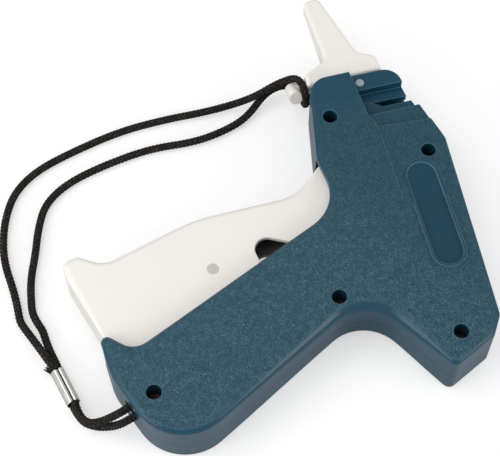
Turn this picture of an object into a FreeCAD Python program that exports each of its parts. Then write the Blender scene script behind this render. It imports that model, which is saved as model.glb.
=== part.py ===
"""Garment tag attacher, a hand tool that pushes plastic tag fasteners through cloth.

Row frame, millimetres: the tool lies on its right side. +Z is up through its thickness, +Y is the way
the needle points, and the handle runs towards -X. The origin is on the lower face under the needle.
"""
import FreeCAD
import Part
import math
import os
from FreeCAD import Rotation, Vector
from Sketcher import Constraint

# ---------------------------------------------------------------- driving dimensions
SIZES = {
    # housing
    "body_thickness": 26.0,
    "wall": 2.2,
    "soft_edge": 4.6,
    "end_edge": 2.4,
    "lug_edge": 2.0,
    "crisp_edge": 1.3,
    "nose_front_y": 52.4,
    "nose_core_y": 22.0,
    "panel_x": 16.4,
    "panel_front_y": -0.6,
    "panel_rear_y": -34.4,
    "panel_half_width": 6.9,
    "panel_bead": 1.1,
    "panel_raise": 0.5,
    "panel_sink": 0.5,
    "lower_panel_depth": 0.4,
    "crease_drop": 0.55,
    "crease_rear_y": -12.0,
    "crease_x": 6.4,
    # stepped recess beside the needle
    "step_rear_y": 31.4,
    "step_mid_y": 39.6,
    "step_front_y": 45.0,
    "depth_rear": 2.1,
    "depth_mid": 6.4,
    "depth_low": 8.8,
    "depth_front": 4.8,
    "slot_front_y": 40.3,
    "slot_rear_y": 36.4,
    "slot_left_x": 6.8,
    "slot_deep_x": 13.0,
    "slot_taper_end": 0.4,
    # screws
    "screw_recess_gap": 0.35,
    "screw_seat_rise": 2.8,
    "screw_head_r": 2.6,
    "screw_head_height": 1.9,
    "screw_shank_r": 1.35,
    "screw_shank_gap": 0.15,
    "screw_end": 3.4,
    "boss_wall": 0.95,
    # trigger and its pivot
    "trigger_width": 18.0,
    "trigger_wall": 2.0,
    "trigger_edge": 2.4,
    "inner_edge": 0.5,
    "pivot_x": -108.0,
    "pivot_y": -47.0,
    "pivot_pin_r": 2.0,
    "pivot_hub_r": 5.0,
    "pin_seat_depth": 1.0,
    "fork_gap": 5.2,
    "fork_rear_x": -38.0,
    "insert_x": -71.2,
    "insert_y": -17.7,
    "insert_r": 2.2,
    "insert_boss_wall": 1.6,
    "pad_x": -55.5,
    "pad_y": -23.0,
    "pad_r": 2.3,
    # drive lever
    "lever_x": -40.0,
    "lever_y": -30.0,
    "lever_pin_r": 1.5,
    "lever_hub_r": 5.0,
    "lever_hub_height": 6.0,
    "lever_thickness": 4.0,
    "lever_boss_r": 3.2,
    "lever_reach": 52.6,
    "lever_rest_angle": -24.6,
    "lever_arm_half": 4.5,
    "lever_waist_low": -1.8,
    "lever_waist_high": 4.4,
    "lever_waist_end": 24.0,
    "lever_slot_start": 38.1,
    "lever_slot_end": 50.4,
    "lever_slot_play": 1.15,
    "lever_foot": 13.1,
    "lever_foot_angle": 169.5,
    "lever_foot_r": 2.5,
    # slide and push rod
    "slide_rest_y": -49.0,
    "slide_half_width": 4.5,
    "slide_rear": 6.0,
    "slide_front": 13.0,
    "slide_slot_front": 9.4,
    "slide_slot_gap": 0.3,
    "slide_height": 10.0,
    "drive_pin_r": 1.6,
    "rod_r": 0.7,
    "rod_tip_y": 32.0,
    "rail_half_width": 2.0,
    "rail_drop": 3.5,
    "rail_rear_y": -58.0,
    "rail_front_y": 16.0,
    # feed
    "channel_rear_y": 32.5,
    "channel_front_y": 43.5,
    "channel_half_height": 1.1,
    "wheel_x": 7.6,
    "wheel_cover": 0.5,
    "wheel_r": 4.3,
    "wheel_rear_y": 34.0,
    "wheel_width": 4.0,
    "wheel_teeth": 10,
    "tooth_gap_r": 0.85,
    "shaft_r": 1.0,
    "shaft_rear_y": 30.2,
    "shaft_front_y": 42.6,
    "leaf_thickness": 0.4,
    "leaf_height": 9.0,
    # needle
    "needle_r": 1.6,
    "needle_slot": 0.9,
    "needle_rear_y": 45.0,
    "needle_tip_y": 80.0,
    "needle_bevel": 3.5,
    "holder_half_width": 3.6,
    "holder_half_height": 3.4,
    "snout_r": 3.2,
    "snout_front_y": 57.0,
    "lock_x": 6.2,
    "lock_y": 48.6,
    "lock_pin_r": 1.65,
    "lock_lever_low": 0.5,
    "lock_lever_high": 2.8,
    "lock_lever_length": 15.0,
    "lock_hub_r": 3.2,
    "lock_flat": 0.5,
    "ear_half_width": 2.6,
    "blade_y": 43.9,
    "blade_thickness": 0.5,
    "blade_length": 4.8,
    "blade_bevel": 1.2,
    "blade_half_height": 3.2,
    "blade_clearance": 0.6,
    # needle cap
    "cap_stand_off": 1.2,
    "cap_tip_y": 96.4,
    "cap_base_half_height": 7.0,
    "cap_tip_half_height": 3.2,
    "cap_edge": 1.6,
    "cap_bore_gap": 0.5,
    "cap_bore_depth": 3.0,
    "peg_neck_left_x": -17.8,
    "peg_neck_right_x": -12.5,
    "peg_neck_rear_y": 52.6,
    "peg_neck_front_y": 57.8,
    "peg_neck_half_height": 2.0,
    "peg_x": -19.3,
    "peg_r": 2.8,
    "peg_root_y": 58.7,
    "peg_root_drop": 1.9,
    "peg_length": 8.0,
    "peg_lean": 28.0,
    # wrist strap
    "cord_r": 1.45,
    "ferrule_x": -135.2,
    "ferrule_y": -42.9,
    "ferrule_length": 14.6,
    "ferrule_heading": -76.1,
    "lobe_r": 1.65,
    "lobe_spread": 3.0,
    "lobe_tilt": 74.0,
    "strap_part_x": -45.0,
    "strap_part_gap": 0.3,
    "strap_slot_y": -62.7,
    "strap_slot_height": 5.4,
    # return spring
    "spring_x": -78.0,
    "spring_y": -26.9,
    "spring_heading": -60.0,
    "spring_r": 3.6,
    "spring_wire_r": 0.5,
    "spring_turns": 9,
    "spring_length": 34.0,
    "spring_seat_width": 11.0,
    "spring_seat_depth": 12.0,
    "spring_plate": 2.0,
    "spring_end_gap": 0.1,
    "spring_peg_r": 2.6,
    "spring_peg_length": 3.0,
    # fits
    "shaft_gap": 0.05,
    "running_gap": 0.3,
    "seat_gap": 0.02,
}

# Sizes that follow from the ones above.
DERIVED = {
    "level_rear": "body_thickness - depth_rear",
    "level_mid": "body_thickness - depth_mid",
    "level_low": "body_thickness - depth_low",
    "level_front": "body_thickness - depth_front",
    "screw_recess_r": "screw_head_r + screw_recess_gap",
    "screw_seat": "body_thickness / 2 + screw_seat_rise",
    "screw_clearance_r": "screw_shank_r + screw_shank_gap",
    "boss_r": "screw_recess_r + boss_wall",
    "trigger_low": "(body_thickness - trigger_width) / 2",
    "trigger_high": "(body_thickness + trigger_width) / 2",
    "insert_boss_r": "insert_r + insert_boss_wall",
    "lever_slot_half": "drive_pin_r + lever_slot_play",
    "slide_low": "(body_thickness - slide_height) / 2",
    "slide_high": "(body_thickness + slide_height) / 2",
    "rail_top": "body_thickness / 2 - rail_drop",
    "wheel_z": "body_thickness / 2 - wheel_r - wheel_cover",
    "needle_bore_r": "rod_r + running_gap",
    "holder_rear_y": "needle_rear_y",
    "cap_bore_r": "needle_r + cap_bore_gap",
    "cap_bore_end_y": "needle_tip_y + cap_bore_depth",
    "cap_base_y": "nose_front_y + cap_stand_off",
    "strap_slot_low": "body_thickness / 2",
    "strap_slot_high": "body_thickness / 2 + strap_slot_height",
}

# Each corner is x, y and the radius that rounds it. The housing outline is at the parting plane.
HOUSING = {
    "nose_right": (21.9, None, 7.0),
    "slope_top": (24.0, 37.2, 9.0),
    "shoulder": (30.7, 13.6, 8.0),
    "top_rear": (27.0, -63.9, 2.5),
    "rear_facet": (22.6, -71.0, 2.0),
    "rear_corner": (5.0, -79.5, 3.0),
    "arch": (-18.4, -43.1, 17.0),
    "heel": (-103.0, -88.6, 20.0),
    "end_bend": (-117.7, -51.0, 20.0),
    "hook_tip": (-118.9, -32.5, 2.2),
    "hook_dip": (-107.2, -43.6, 8.0),
    "grip_top": (-17.6, -5.3, 18.0),
    "nose_waist": (-20.9, 17.2, 12.0),
    "nose_left": (-14.1, None, 8.0),
}
RECESS = {
    "recess_front": (1.6, 60.0, 0.0),
    "recess_far": (45.0, 60.0, 0.0),
    "recess_side": (45.0, 21.9, 0.0),
    "recess_rear": (6.9, 24.8, 2.5),
    "recess_bend": (4.1, 30.0, 5.0),
}
TRIGGER_MOUTH = {
    "mouth_nose": (-30.0, 15.4, 0.0),
    "mouth_tip": (-16.6, 19.6, 1.0),
    "mouth_inner": (-16.2, -8.0, 3.0),
    "mouth_dip": (-105.0, -48.4, 4.0),
    "mouth_hook": (-116.2, -41.5, 1.0),
    "mouth_end": (-124.0, -36.5, 0.0),
    "mouth_out": (-60.0, 12.0, 0.0),
}
TRIGGER = {
    "toe": (-126.2, -0.4, 3.0),
    "toe_lip": (-119.8, 0.9, 2.5),
    "toe_dip": (-110.5, -5.0, 10.0),
    "grip_crest": (-73.0, 5.2, 60.0),
    "grip_sweep": (-33.0, 5.3, 18.0),
    "top_tip": (-19.0, 16.4, 1.2),
    "prong_inner": (-18.5, -3.0, 3.0),
    "prong_heel": (-31.0, -18.4, 3.0),
    "window_top": (-55.6, -5.8, 4.8),
    "window_foot": (-51.2, -28.5, 2.0),
    "trigger_heel": (-100.0, -52.5, 6.0),
    "trigger_root": (-111.6, -53.5, 5.0),
    "end_knee": (-125.8, -7.4, 8.0),
}
TRIGGER_POCKET = {
    "pocket_toe": (-123.0, -3.6, 2.0),
    "pocket_dip": (-110.5, -7.8, 10.0),
    "pocket_crest": (-73.0, 2.6, 60.0),
    "pocket_sweep": (-32.2, 2.6, 15.0),
    "pocket_tip": (-21.6, 11.4, 1.0),
    "pocket_inner": (-21.4, -30.0, 0.0),
    "pocket_rear": (-60.0, -45.0, 0.0),
    "pocket_root": (-99.0, -60.0, 2.0),
    "pocket_end": (-113.2, -41.0, 3.0),
    "pocket_knee": (-122.9, -8.0, 6.0),
}
CAP = {
    "cap_point_right": (2.4, None, 2.6),
    "cap_shoulder": (9.8, 64.9, 3.0),
    "cap_wing_top": (16.6, 61.2, 3.0),
    "cap_wing_foot": (17.2, None, 1.0),
    "cap_foot_left": (-14.2, None, 1.0),
    "cap_neck_corner": (-14.2, 58.9, 1.0),
    "cap_waist": (-3.9, 64.3, 3.0),
    "cap_point_left": (-4.8, None, 2.8),
}
SCREWS = {
    "screw_nose": (-10.8, 33.6),
    "screw_top": (22.4, 9.6),
    "screw_grip": (-28.8, -42.4),
    "screw_rear": (10.8, -67.0),
    "screw_end": (-104.0, -61.9),
}

# The strap lies on the surface, so its points stay as chosen. Millimetres, thickness direction last.
STRAP_OUTER = [
    (-136.3, -35.5, 4.3), (-137.9, -29.8, 4.7), (-140.9, -23.6, 3.9), (-144.4, -16.6, 1.7),
    (-146.6, -7.6, 1.5), (-147.0, 3.3, 1.5), (-148.2, 14.0, 1.5), (-147.3, 23.6, 1.5),
    (-144.3, 34.5, 1.5), (-138.6, 45.0, 1.5), (-128.2, 52.6, 1.5), (-112.4, 57.6, 1.5),
    (-91.4, 62.3, 1.5), (-72.2, 63.2, 1.5), (-56.0, 62.3, 2.0), (-43.0, 61.8, 3.9),
    (-33.6, 61.4, 7.2),
]
STRAP_HITCH = [
    (-24.2, 62.8, 11.2), (-15.8, 60.4, 16.95), (-15.8, 49.7, 17.4), (-15.8, 49.7, 9.05),
    (-15.8, 60.8, 8.7), (-22.4, 64.2, 6.9), (-29.6, 63.4, 4.4),
]
STRAP_INNER = [
    (-39.0, 55.4, 2.3), (-48.8, 51.8, 1.8), (-62.7, 49.6, 1.5), (-81.2, 51.2, 1.5),
    (-100.7, 48.3, 1.5), (-117.0, 43.9, 1.5), (-127.8, 36.6, 1.5), (-132.7, 25.9, 1.5),
    (-135.8, 15.3, 1.5), (-139.6, 5.1, 1.5), (-141.2, -4.7, 1.5), (-140.4, -13.3, 1.5),
    (-138.7, -21.3, 1.5), (-138.1, -29.0, 1.5), (-137.7, -35.8, 1.65),
]
STRAP_TAIL = [
    (-133.0, -50.0, 4.5), (-132.3, -56.0, 4.8), (-129.2, -59.0, 6.0), (-124.4, -60.4, 8.9),
    (-119.2, -61.0, 12.6), (-113.8, -61.2, 15.8), (-106.2, -56.1, 16.0), (-98.4, -56.2, 16.0),
    (-98.4, -67.6, 15.2), (-106.7, -67.5, 14.8), (-109.4, -63.3, 14.8), (-115.0, -64.4, 14.6),
    (-118.8, -64.2, 10.2), (-123.1, -63.0, 5.0), (-127.6, -61.2, 2.2), (-132.2, -57.6, 1.6),
    (-133.9, -50.3, 1.65),
]
ARC_SHARE = 0.45

CORNER_TABLES = (HOUSING, RECESS, TRIGGER_MOUTH, TRIGGER, TRIGGER_POCKET, CAP)
SHARED_Y = {
    "nose_right": "nose_front_y",
    "nose_left": "nose_front_y",
    "cap_point_right": "cap_tip_y",
    "cap_point_left": "cap_tip_y",
    "cap_wing_foot": "cap_base_y",
    "cap_foot_left": "cap_base_y",
}

doc = FreeCAD.newDocument("TagAttacher")
nodes = []


# ---------------------------------------------------------------- document helpers
def fill_sheet():
    """Put every size in the sheet with an alias, as a plain number or as what it follows from."""
    sheet = doc.addObject("Spreadsheet::Sheet", "Dim")
    table = dict(SIZES)
    for corners in CORNER_TABLES:
        for corner, (x, y, radius) in corners.items():
            table[corner + "_x"] = x
            if y is not None:
                table[corner + "_y"] = y
            table[corner + "_r"] = radius
    for screw, (x, y) in SCREWS.items():
        table[screw + "_x"] = x
        table[screw + "_y"] = y
    for alias, formula in DERIVED.items():
        table[alias] = "=" + formula
    for row, (alias, value) in enumerate(table.items(), 1):
        sheet.set("A%d" % row, alias)
        sheet.set("B%d" % row, str(value))
        sheet.setAlias("B%d" % row, alias)
    doc.recompute()
    return sheet


sheet = fill_sheet()


def size(alias):
    """The value of one cell."""
    return float(sheet.get(alias))


def bind(thing, **expressions):
    """Bind properties to the sheet. An underscore pair in a name stands for a dot."""
    for name, expression in expressions.items():
        thing.setExpression(name.replace("__", "."), expression)
    return thing


def place(thing, x="0", y="0", z="0"):
    """Bind the position of an object."""
    return bind(thing, Placement__Base__x=x, Placement__Base__y=y, Placement__Base__z=z)


def box(name, x, y, z, length, width, height):
    """A block from its lowest corner."""
    thing = doc.addObject("Part::Box", name)
    bind(thing, Length=length, Width=width, Height=height)
    return place(thing, x, y, z)


def cylinder(name, radius, height, x, y, z, along="Z"):
    """A round bar along Z or Y from the centre of its first end."""
    thing = doc.addObject("Part::Cylinder", name)
    if along == "Y":
        thing.Placement = FreeCAD.Placement(Vector(), Rotation(Vector(1, 0, 0), -90))
    bind(thing, Radius=radius, Height=height)
    return place(thing, x, y, z)


def fuse(name, *parts):
    thing = doc.addObject("Part::MultiFuse", name)
    thing.Shapes = list(parts)
    return thing


def cut(name, base, *tools):
    thing = doc.addObject("Part::Cut", name)
    thing.Base = base
    thing.Tool = tools[0] if len(tools) == 1 else fuse(name + "_tools", *tools)
    return thing


def common(name, first, second):
    thing = doc.addObject("Part::Common", name)
    thing.Base = first
    thing.Tool = second
    return thing


def extrude(name, sketch, low, length):
    """A sketch in the XY plane pulled up from a level."""
    thing = doc.addObject("Part::Extrusion", name)
    thing.Base = sketch
    thing.DirMode = "Custom"
    thing.Dir = Vector(0, 0, 1)
    thing.Solid = True
    bind(thing, LengthFwd=length)
    return place(thing, z=low)


def finish(thing, label):
    """Name an object as a node that is written."""
    thing.Label = label
    nodes.append(thing)
    return thing


def shape_node(label, shape):
    """A node whose shape comes from Part's own functions."""
    thing = doc.addObject("Part::Feature", label)
    thing.Shape = shape
    return finish(thing, label)


# ---------------------------------------------------------------- outlines
def corner_y(corner):
    """The alias of a corner's Y, which some corners share."""
    return SHARED_Y.get(corner, corner + "_y")


def outline(name, corners):
    """A closed sketch of straight runs with a tangent arc at each rounded corner.

    A construction point at each sharp corner carries the bound place, and both runs pass through it.
    """
    names = list(corners)
    points = [Vector(size(n + "_x"), size(corner_y(n)), 0) for n in names]
    radii = [size(n + "_r") for n in names]
    sketch = doc.addObject("Sketcher::SketchObject", name)
    count = len(names)
    starts = []
    ends = []
    arcs = []
    for i in range(count):
        before = (points[i - 1] - points[i]).normalize()
        after = (points[(i + 1) % count] - points[i]).normalize()
        half = before.getAngle(after) / 2
        reach = radii[i] / math.tan(half)
        starts.append(points[i] + before * reach)
        ends.append(points[i] + after * reach)
        arcs.append((before + after).normalize() * (radii[i] / math.sin(half)))
    runs = []
    for i in range(count):
        runs.append(sketch.addGeometry(Part.LineSegment(ends[i], starts[(i + 1) % count])))
    rounds = []
    for i in range(count):
        if radii[i] == 0:
            rounds.append(None)
            continue
        centre = points[i] + arcs[i]
        angle_in = math.atan2(starts[i].y - centre.y, starts[i].x - centre.x)
        angle_out = math.atan2(ends[i].y - centre.y, ends[i].x - centre.x)
        swing = (angle_out - angle_in) % (2 * math.pi)
        circle = Part.Circle(centre, Vector(0, 0, 1), radii[i])
        if swing < math.pi:
            rounds.append((sketch.addGeometry(Part.ArcOfCircle(circle, angle_in, angle_out)), 1, 2))
        else:
            rounds.append((sketch.addGeometry(Part.ArcOfCircle(circle, angle_out, angle_in)), 2, 1))
    for i in range(count):
        add_corner(sketch, names[i], points[i], runs[i - 1], rounds[i], runs[i])
    return sketch


def add_corner(sketch, corner, point, run_in, rounding, run_out):
    """Tie two runs to the bound corner, through an arc where the corner is rounded."""
    if rounding is None:
        sketch.addConstraint(Constraint("Coincident", run_in, 2, run_out, 1))
        mark = (run_out, 1)
    else:
        arc, first, last = rounding
        sketch.addConstraint(Constraint("Tangent", run_in, 2, arc, first))
        sketch.addConstraint(Constraint("Tangent", arc, last, run_out, 1))
        bound(sketch, Constraint("Radius", arc, size(corner + "_r")), corner + "_r")
        dot = sketch.addGeometry(Part.Point(point), True)
        sketch.addConstraint(Constraint("PointOnObject", dot, 1, run_in))
        sketch.addConstraint(Constraint("PointOnObject", dot, 1, run_out))
        mark = (dot, 1)
    bound(sketch, Constraint("DistanceX", -1, 1, mark[0], mark[1], point.x), corner + "_x")
    bound(sketch, Constraint("DistanceY", -1, 1, mark[0], mark[1], point.y), corner_y(corner))


def bound(sketch, constraint, alias):
    index = sketch.addConstraint(constraint)
    sketch.setExpression("Constraints[%d]" % index, "Dim." + alias)


# ---------------------------------------------------------------- housing
PARTING = "Dim.body_thickness / 2"
HOUSING_EDGES = {
    "rear_facet": "lug_edge",
    "rear_corner": "lug_edge",
    "arch": "soft_edge",
    "heel": "soft_edge",
    "end_bend": "end_edge",
    "hook_tip": "end_edge",
    "hook_dip": "end_edge",
}
TRIGGER_EDGES = {
    "toe": "trigger_edge",
    "toe_lip": "trigger_edge",
    "toe_dip": "trigger_edge",
    "grip_crest": "trigger_edge",
    "grip_sweep": "trigger_edge",
    "end_knee": "trigger_edge",
}


def edge_radius(point, corners, radii, other):
    """The edge's rounding beside the nearest corner of an outline."""
    spot = Vector(point.x, point.y, 0)
    nearest = min(corners, key=lambda n: spot.distanceToPoint(corner_point(n)))
    return size(radii.get(nearest, other))


def corner_point(corner):
    return Vector(size(corner + "_x"), size(corner_y(corner)), 0)


def face_edges(shape, level, corners, radii, other):
    """The outline edges of one outer face, each with its start and end radius."""
    chosen = []
    for index, edge in enumerate(shape.Edges, 1):
        low, high = edge.BoundBox.ZMin, edge.BoundBox.ZMax
        if abs(low - level) < 0.001 and abs(high - level) < 0.001:
            ends = [edge_radius(vertex.Point, corners, radii, other) for vertex in edge.Vertexes]
            chosen.append((index, ends[0], ends[-1]))
    return chosen


def rounded(name, base, edges):
    """Round chosen edges, each listed with its start and end radius."""
    thing = doc.addObject("Part::Fillet", name)
    thing.Base = base
    thing.Edges = edges
    return thing


def housing_shell(side, low, face_level):
    """One half of the housing, full inside, with its outer face edges rounded."""
    block = extrude(side + "_block", doc.getObject("housing_outline"), low, PARTING)
    doc.recompute()
    edges = face_edges(block.Shape, face_level, HOUSING, HOUSING_EDGES, "crisp_edge")
    return rounded(side + "_shell", block, edges)


def housing_cavity():
    """The hollow that both halves share, behind the solid nose."""
    inner = doc.addObject("Part::Offset2D", "cavity_outline")
    inner.Source = doc.getObject("housing_outline")
    inner.Join = "Intersection"
    bind(inner, Value="-Dim.wall")
    room = extrude("cavity_room", inner, "Dim.wall", "Dim.body_thickness - 2 * Dim.wall")
    core = box("nose_core", "-60", "Dim.nose_core_y", "0", "120", "60", "Dim.body_thickness")
    return cut("cavity", room, core)


def through(name, corner, radius, low, high):
    """A round bar along Z at a named place, between two levels given as expressions."""
    return cylinder(name, radius, "(%s) - (%s)" % (high, low), "Dim.%s_x" % corner,
                    "Dim.%s_y" % corner, low)


def mirrored_levels(side, low, high):
    """Two levels measured up from the outer face of one half."""
    if side == "right":
        return low, high
    return "Dim.body_thickness - (%s)" % high, "Dim.body_thickness - (%s)" % low


def posts(side):
    """The bosses that stand up from the inside of one half to the screws and the two pivot pins."""
    inside = "Dim.wall / 2"
    made = []
    for screw in SCREWS:
        low, high = mirrored_levels(side, inside, PARTING)
        made.append(through("%s_%s_post" % (side, screw), screw, "Dim.boss_r", low, high))
    low, high = mirrored_levels(side, inside, "Dim.trigger_low - Dim.running_gap")
    made.append(through(side + "_pivot_post", "pivot", "Dim.pivot_hub_r - 0.5", low, high))
    hub_low = "Dim.body_thickness / 2 - Dim.lever_hub_height / 2 - Dim.running_gap"
    low, high = mirrored_levels(side, inside, hub_low)
    made.append(through(side + "_lever_post", "lever", "Dim.lever_boss_r", low, high))
    low, high = mirrored_levels(side, inside, PARTING)
    made.append(heading_bar(side + "_spring_seat", size("spring_length"), "Dim.spring_seat_depth", low, high))
    return made


def heading_bar(name, start, length, low, high):
    """A block across the return spring's line, starting some way along it."""
    thing = doc.addObject("Part::Box", name)
    bind(thing, Length=length, Width="Dim.spring_seat_width", Height="(%s) - (%s)" % (high, low))
    turn = Rotation(Vector(0, 0, 1), size("spring_heading"))
    corner = Vector(size("spring_x"), size("spring_y"), 0)
    corner = corner + turn.multVec(Vector(start, -size("spring_seat_width") / 2, 0))
    thing.Placement = FreeCAD.Placement(corner, turn)
    return bind(thing, Placement__Base__z=low)


def pin_holes():
    """Seats for the trigger's and the lever's pivot pins, blind in both halves."""
    seat = "Dim.wall - Dim.pin_seat_depth"
    made = []
    for corner, radius in (("pivot", "Dim.pivot_pin_r"), ("lever", "Dim.lever_pin_r")):
        made.append(through(corner + "_seat", corner, radius + " + Dim.seat_gap", seat,
                            "Dim.body_thickness - (%s)" % seat))
    return made


def nose_holes():
    """What runs through the solid nose: push rod, fastener channel, needle holder and lock pin."""
    mid = PARTING
    rod = cylinder("rod_bore", "Dim.rod_r + Dim.running_gap", "Dim.holder_rear_y - Dim.nose_core_y + 2",
                   "0", "Dim.nose_core_y - 1", mid, "Y")
    channel = box("fastener_channel", "-Dim.needle_r", "Dim.channel_rear_y",
                  mid + " - Dim.channel_half_height", "60",
                  "Dim.channel_front_y - Dim.channel_rear_y", "2 * Dim.channel_half_height")
    holder = box("holder_seat", "-Dim.holder_half_width - Dim.shaft_gap", "Dim.holder_rear_y",
                 mid + " - Dim.holder_half_height - Dim.shaft_gap",
                 "2 * (Dim.holder_half_width + Dim.shaft_gap)", "20",
                 "2 * (Dim.holder_half_height + Dim.shaft_gap)")
    ear = box("holder_ear_seat", "0", "Dim.lock_y - Dim.ear_half_width - Dim.shaft_gap",
              mid + " - Dim.holder_half_height - Dim.shaft_gap", "Dim.lock_x",
              "2 * (Dim.ear_half_width + Dim.shaft_gap)", "2 * (Dim.holder_half_height + Dim.shaft_gap)")
    lock = through("lock_hole", "lock", "Dim.lock_pin_r + Dim.shaft_gap", "-1", "Dim.body_thickness")
    thread = box("filament_gap", "0", "Dim.channel_front_y - 1", mid + " - Dim.needle_slot / 2", "60", "20",
                 "Dim.needle_slot")
    blade = box("blade_seat", "Dim.needle_r + Dim.blade_clearance / 2", "Dim.blade_y - Dim.seat_gap",
                mid + " - Dim.blade_half_height - Dim.seat_gap",
                "Dim.blade_length + Dim.blade_clearance", "Dim.blade_thickness + 2 * Dim.seat_gap",
                "2 * (Dim.blade_half_height + Dim.seat_gap)")
    return [rod, channel, holder, ear, lock, thread, blade]


def feed_room():
    """Room in the lower half for the feed wheel, its shaft and the leaf that indexes it."""
    well = box("wheel_well", "Dim.wheel_x - Dim.wheel_r - Dim.running_gap", "Dim.wheel_rear_y - Dim.running_gap",
               "Dim.wheel_z - Dim.wheel_r - Dim.running_gap",
               "2 * (Dim.wheel_r + Dim.running_gap) + Dim.leaf_thickness",
               "Dim.wheel_width + 2 * Dim.running_gap", "20")
    cradle = box("shaft_cradle", "Dim.wheel_x - Dim.shaft_r - Dim.shaft_gap", "Dim.shaft_rear_y",
                 "Dim.wheel_z", "2 * (Dim.shaft_r + Dim.shaft_gap)", "Dim.shaft_front_y - Dim.shaft_rear_y",
                 "20")
    round_ = cylinder("cradle_round", "Dim.shaft_r + Dim.shaft_gap", "Dim.shaft_front_y - Dim.shaft_rear_y",
                      "Dim.wheel_x", "Dim.shaft_rear_y", "Dim.wheel_z", "Y")
    return [well, cradle, round_]


def strap_slot():
    """The notch in the end wall at the parting line, where the strap goes in, wider on the inside."""
    made = []
    for name, start, end, low, high in (("slot", "-3", "4", "-3.7", "3.9"), ("room", "1", "4", "-7.5", "5.5")):
        made.append(wall_bar("strap_" + name, start, end, low, high))
    return fuse("strap_notch", *made)


def wall_bar(name, start, end, low, high):
    """A block through the end wall at the strap slot, measured inwards and up along the wall."""
    thing = doc.addObject("Part::Box", name)
    bind(thing, Length="(%s) - (%s)" % (end, start), Width="(%s) - (%s)" % (high, low),
         Height="Dim.strap_slot_high - Dim.strap_slot_low")
    along = corner_point("end_bend") - corner_point("heel")
    middle = corner_point("heel") + along * ((size("strap_slot_y") - size("heel_y")) / along.y)
    turn = Rotation(Vector(0, 1, 0), along)
    thing.Placement = FreeCAD.Placement(middle + turn.multVec(Vector(float(start), float(low), 0)), turn)
    return bind(thing, Placement__Base__z="Dim.strap_slot_low")


def stadium(name, grow, low, height):
    """A long rounded block along Y that the grip panel is made from, larger by grow all round."""
    half = "(Dim.panel_half_width + (%s))" % grow
    middle = box(name + "_middle", "Dim.panel_x - " + half, "Dim.panel_rear_y", low, "2 * " + half,
                 "Dim.panel_front_y - Dim.panel_rear_y", height)
    front = cylinder(name + "_front", half, height, "Dim.panel_x", "Dim.panel_front_y", low)
    rear = cylinder(name + "_rear", half, height, "Dim.panel_x", "Dim.panel_rear_y", low)
    return fuse(name, middle, front, rear)


def stepped_recess():
    """The steps beside the needle, cut down from the upper half's face."""
    top = "Dim.body_thickness + 2"
    region = extrude("recess_region", doc.getObject("recess_outline"), "0", "60")
    bands = (("rear", "0", "Dim.step_rear_y", "Dim.level_rear"),
             ("mid", "Dim.step_rear_y", "Dim.step_mid_y", "Dim.level_mid"),
             ("low", "Dim.step_mid_y", "Dim.step_front_y", "Dim.level_low"),
             ("front", "Dim.step_front_y", "80", "Dim.level_front"))
    made = []
    for name, start, end, level in bands:
        made.append(box("band_" + name, "-10", start, level, "80", "(%s) - (%s)" % (end, start),
                        "(%s) - (%s)" % (top, level)))
    slot = box("feed_slot", "Dim.slot_deep_x", "Dim.slot_rear_y", PARTING, "60",
               "Dim.slot_front_y - Dim.slot_rear_y", "20")
    taper = doc.addObject("Part::Wedge", "feed_slot_taper")
    reach = "Dim.slot_deep_x - Dim.slot_left_x"
    bind(taper, Xmin=reach + " - Dim.slot_taper_end", Xmax=reach, Ymin="0",
         Ymax="Dim.slot_front_y - Dim.slot_rear_y", Zmin="0", Zmax="20", Z2min="0", Z2max="20",
         X2min="0", X2max=reach)
    place(taper, "Dim.slot_left_x", "Dim.slot_rear_y", PARTING)
    return common("recess_steps", region, fuse("recess_bands", *made)), slot


def crease_wedge():
    """A very thin wedge that lowers the face beside the nose strip and fades out rearwards."""
    thing = doc.addObject("Part::Box", "crease_wedge")
    bind(thing, Length="60", Width="120", Height="10")
    slope = math.degrees(math.atan2(size("crease_drop"), size("recess_rear_y") - size("crease_rear_y")))
    thing.Placement = FreeCAD.Placement(Vector(), Rotation(Vector(1, 0, 0), -slope))
    return place(thing, "Dim.crease_x", "Dim.crease_rear_y", "Dim.body_thickness")


def trigger_mouth():
    """The opening along the grip that the trigger swings in."""
    low = "Dim.trigger_low - Dim.running_gap"
    return extrude("mouth", doc.getObject("mouth_outline"), low,
                   "Dim.trigger_high - Dim.trigger_low + 2 * Dim.running_gap")


def left_housing(cavity, mouth, shared):
    """The upper half, with the screw recesses, the grip panel and the stepped feed recess."""
    shell = housing_shell("left", PARTING, size("body_thickness"))
    room = cut("left_room", cavity, *posts("left"))
    steps, slot = stepped_recess()
    tools = [room, mouth, steps, slot, doc.getObject("feed_slot_taper"), crease_wedge(), strap_slot()]
    tools.append(stadium("panel_floor", "-Dim.panel_bead", "Dim.body_thickness - Dim.panel_sink", "5"))
    for screw in SCREWS:
        tools.append(through(screw + "_recess", screw, "Dim.screw_recess_r", "Dim.screw_seat",
                             "Dim.body_thickness + 5"))
        tools.append(through(screw + "_clearance", screw, "Dim.screw_clearance_r", "1", "Dim.screw_seat + 1"))
    bead = stadium("panel_bead_block", "0", "Dim.body_thickness - 1", "1 + Dim.panel_raise")
    finish(cut("left_half", fuse("left_solid", shell, bead), *(tools + shared)), "left_housing")


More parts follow.
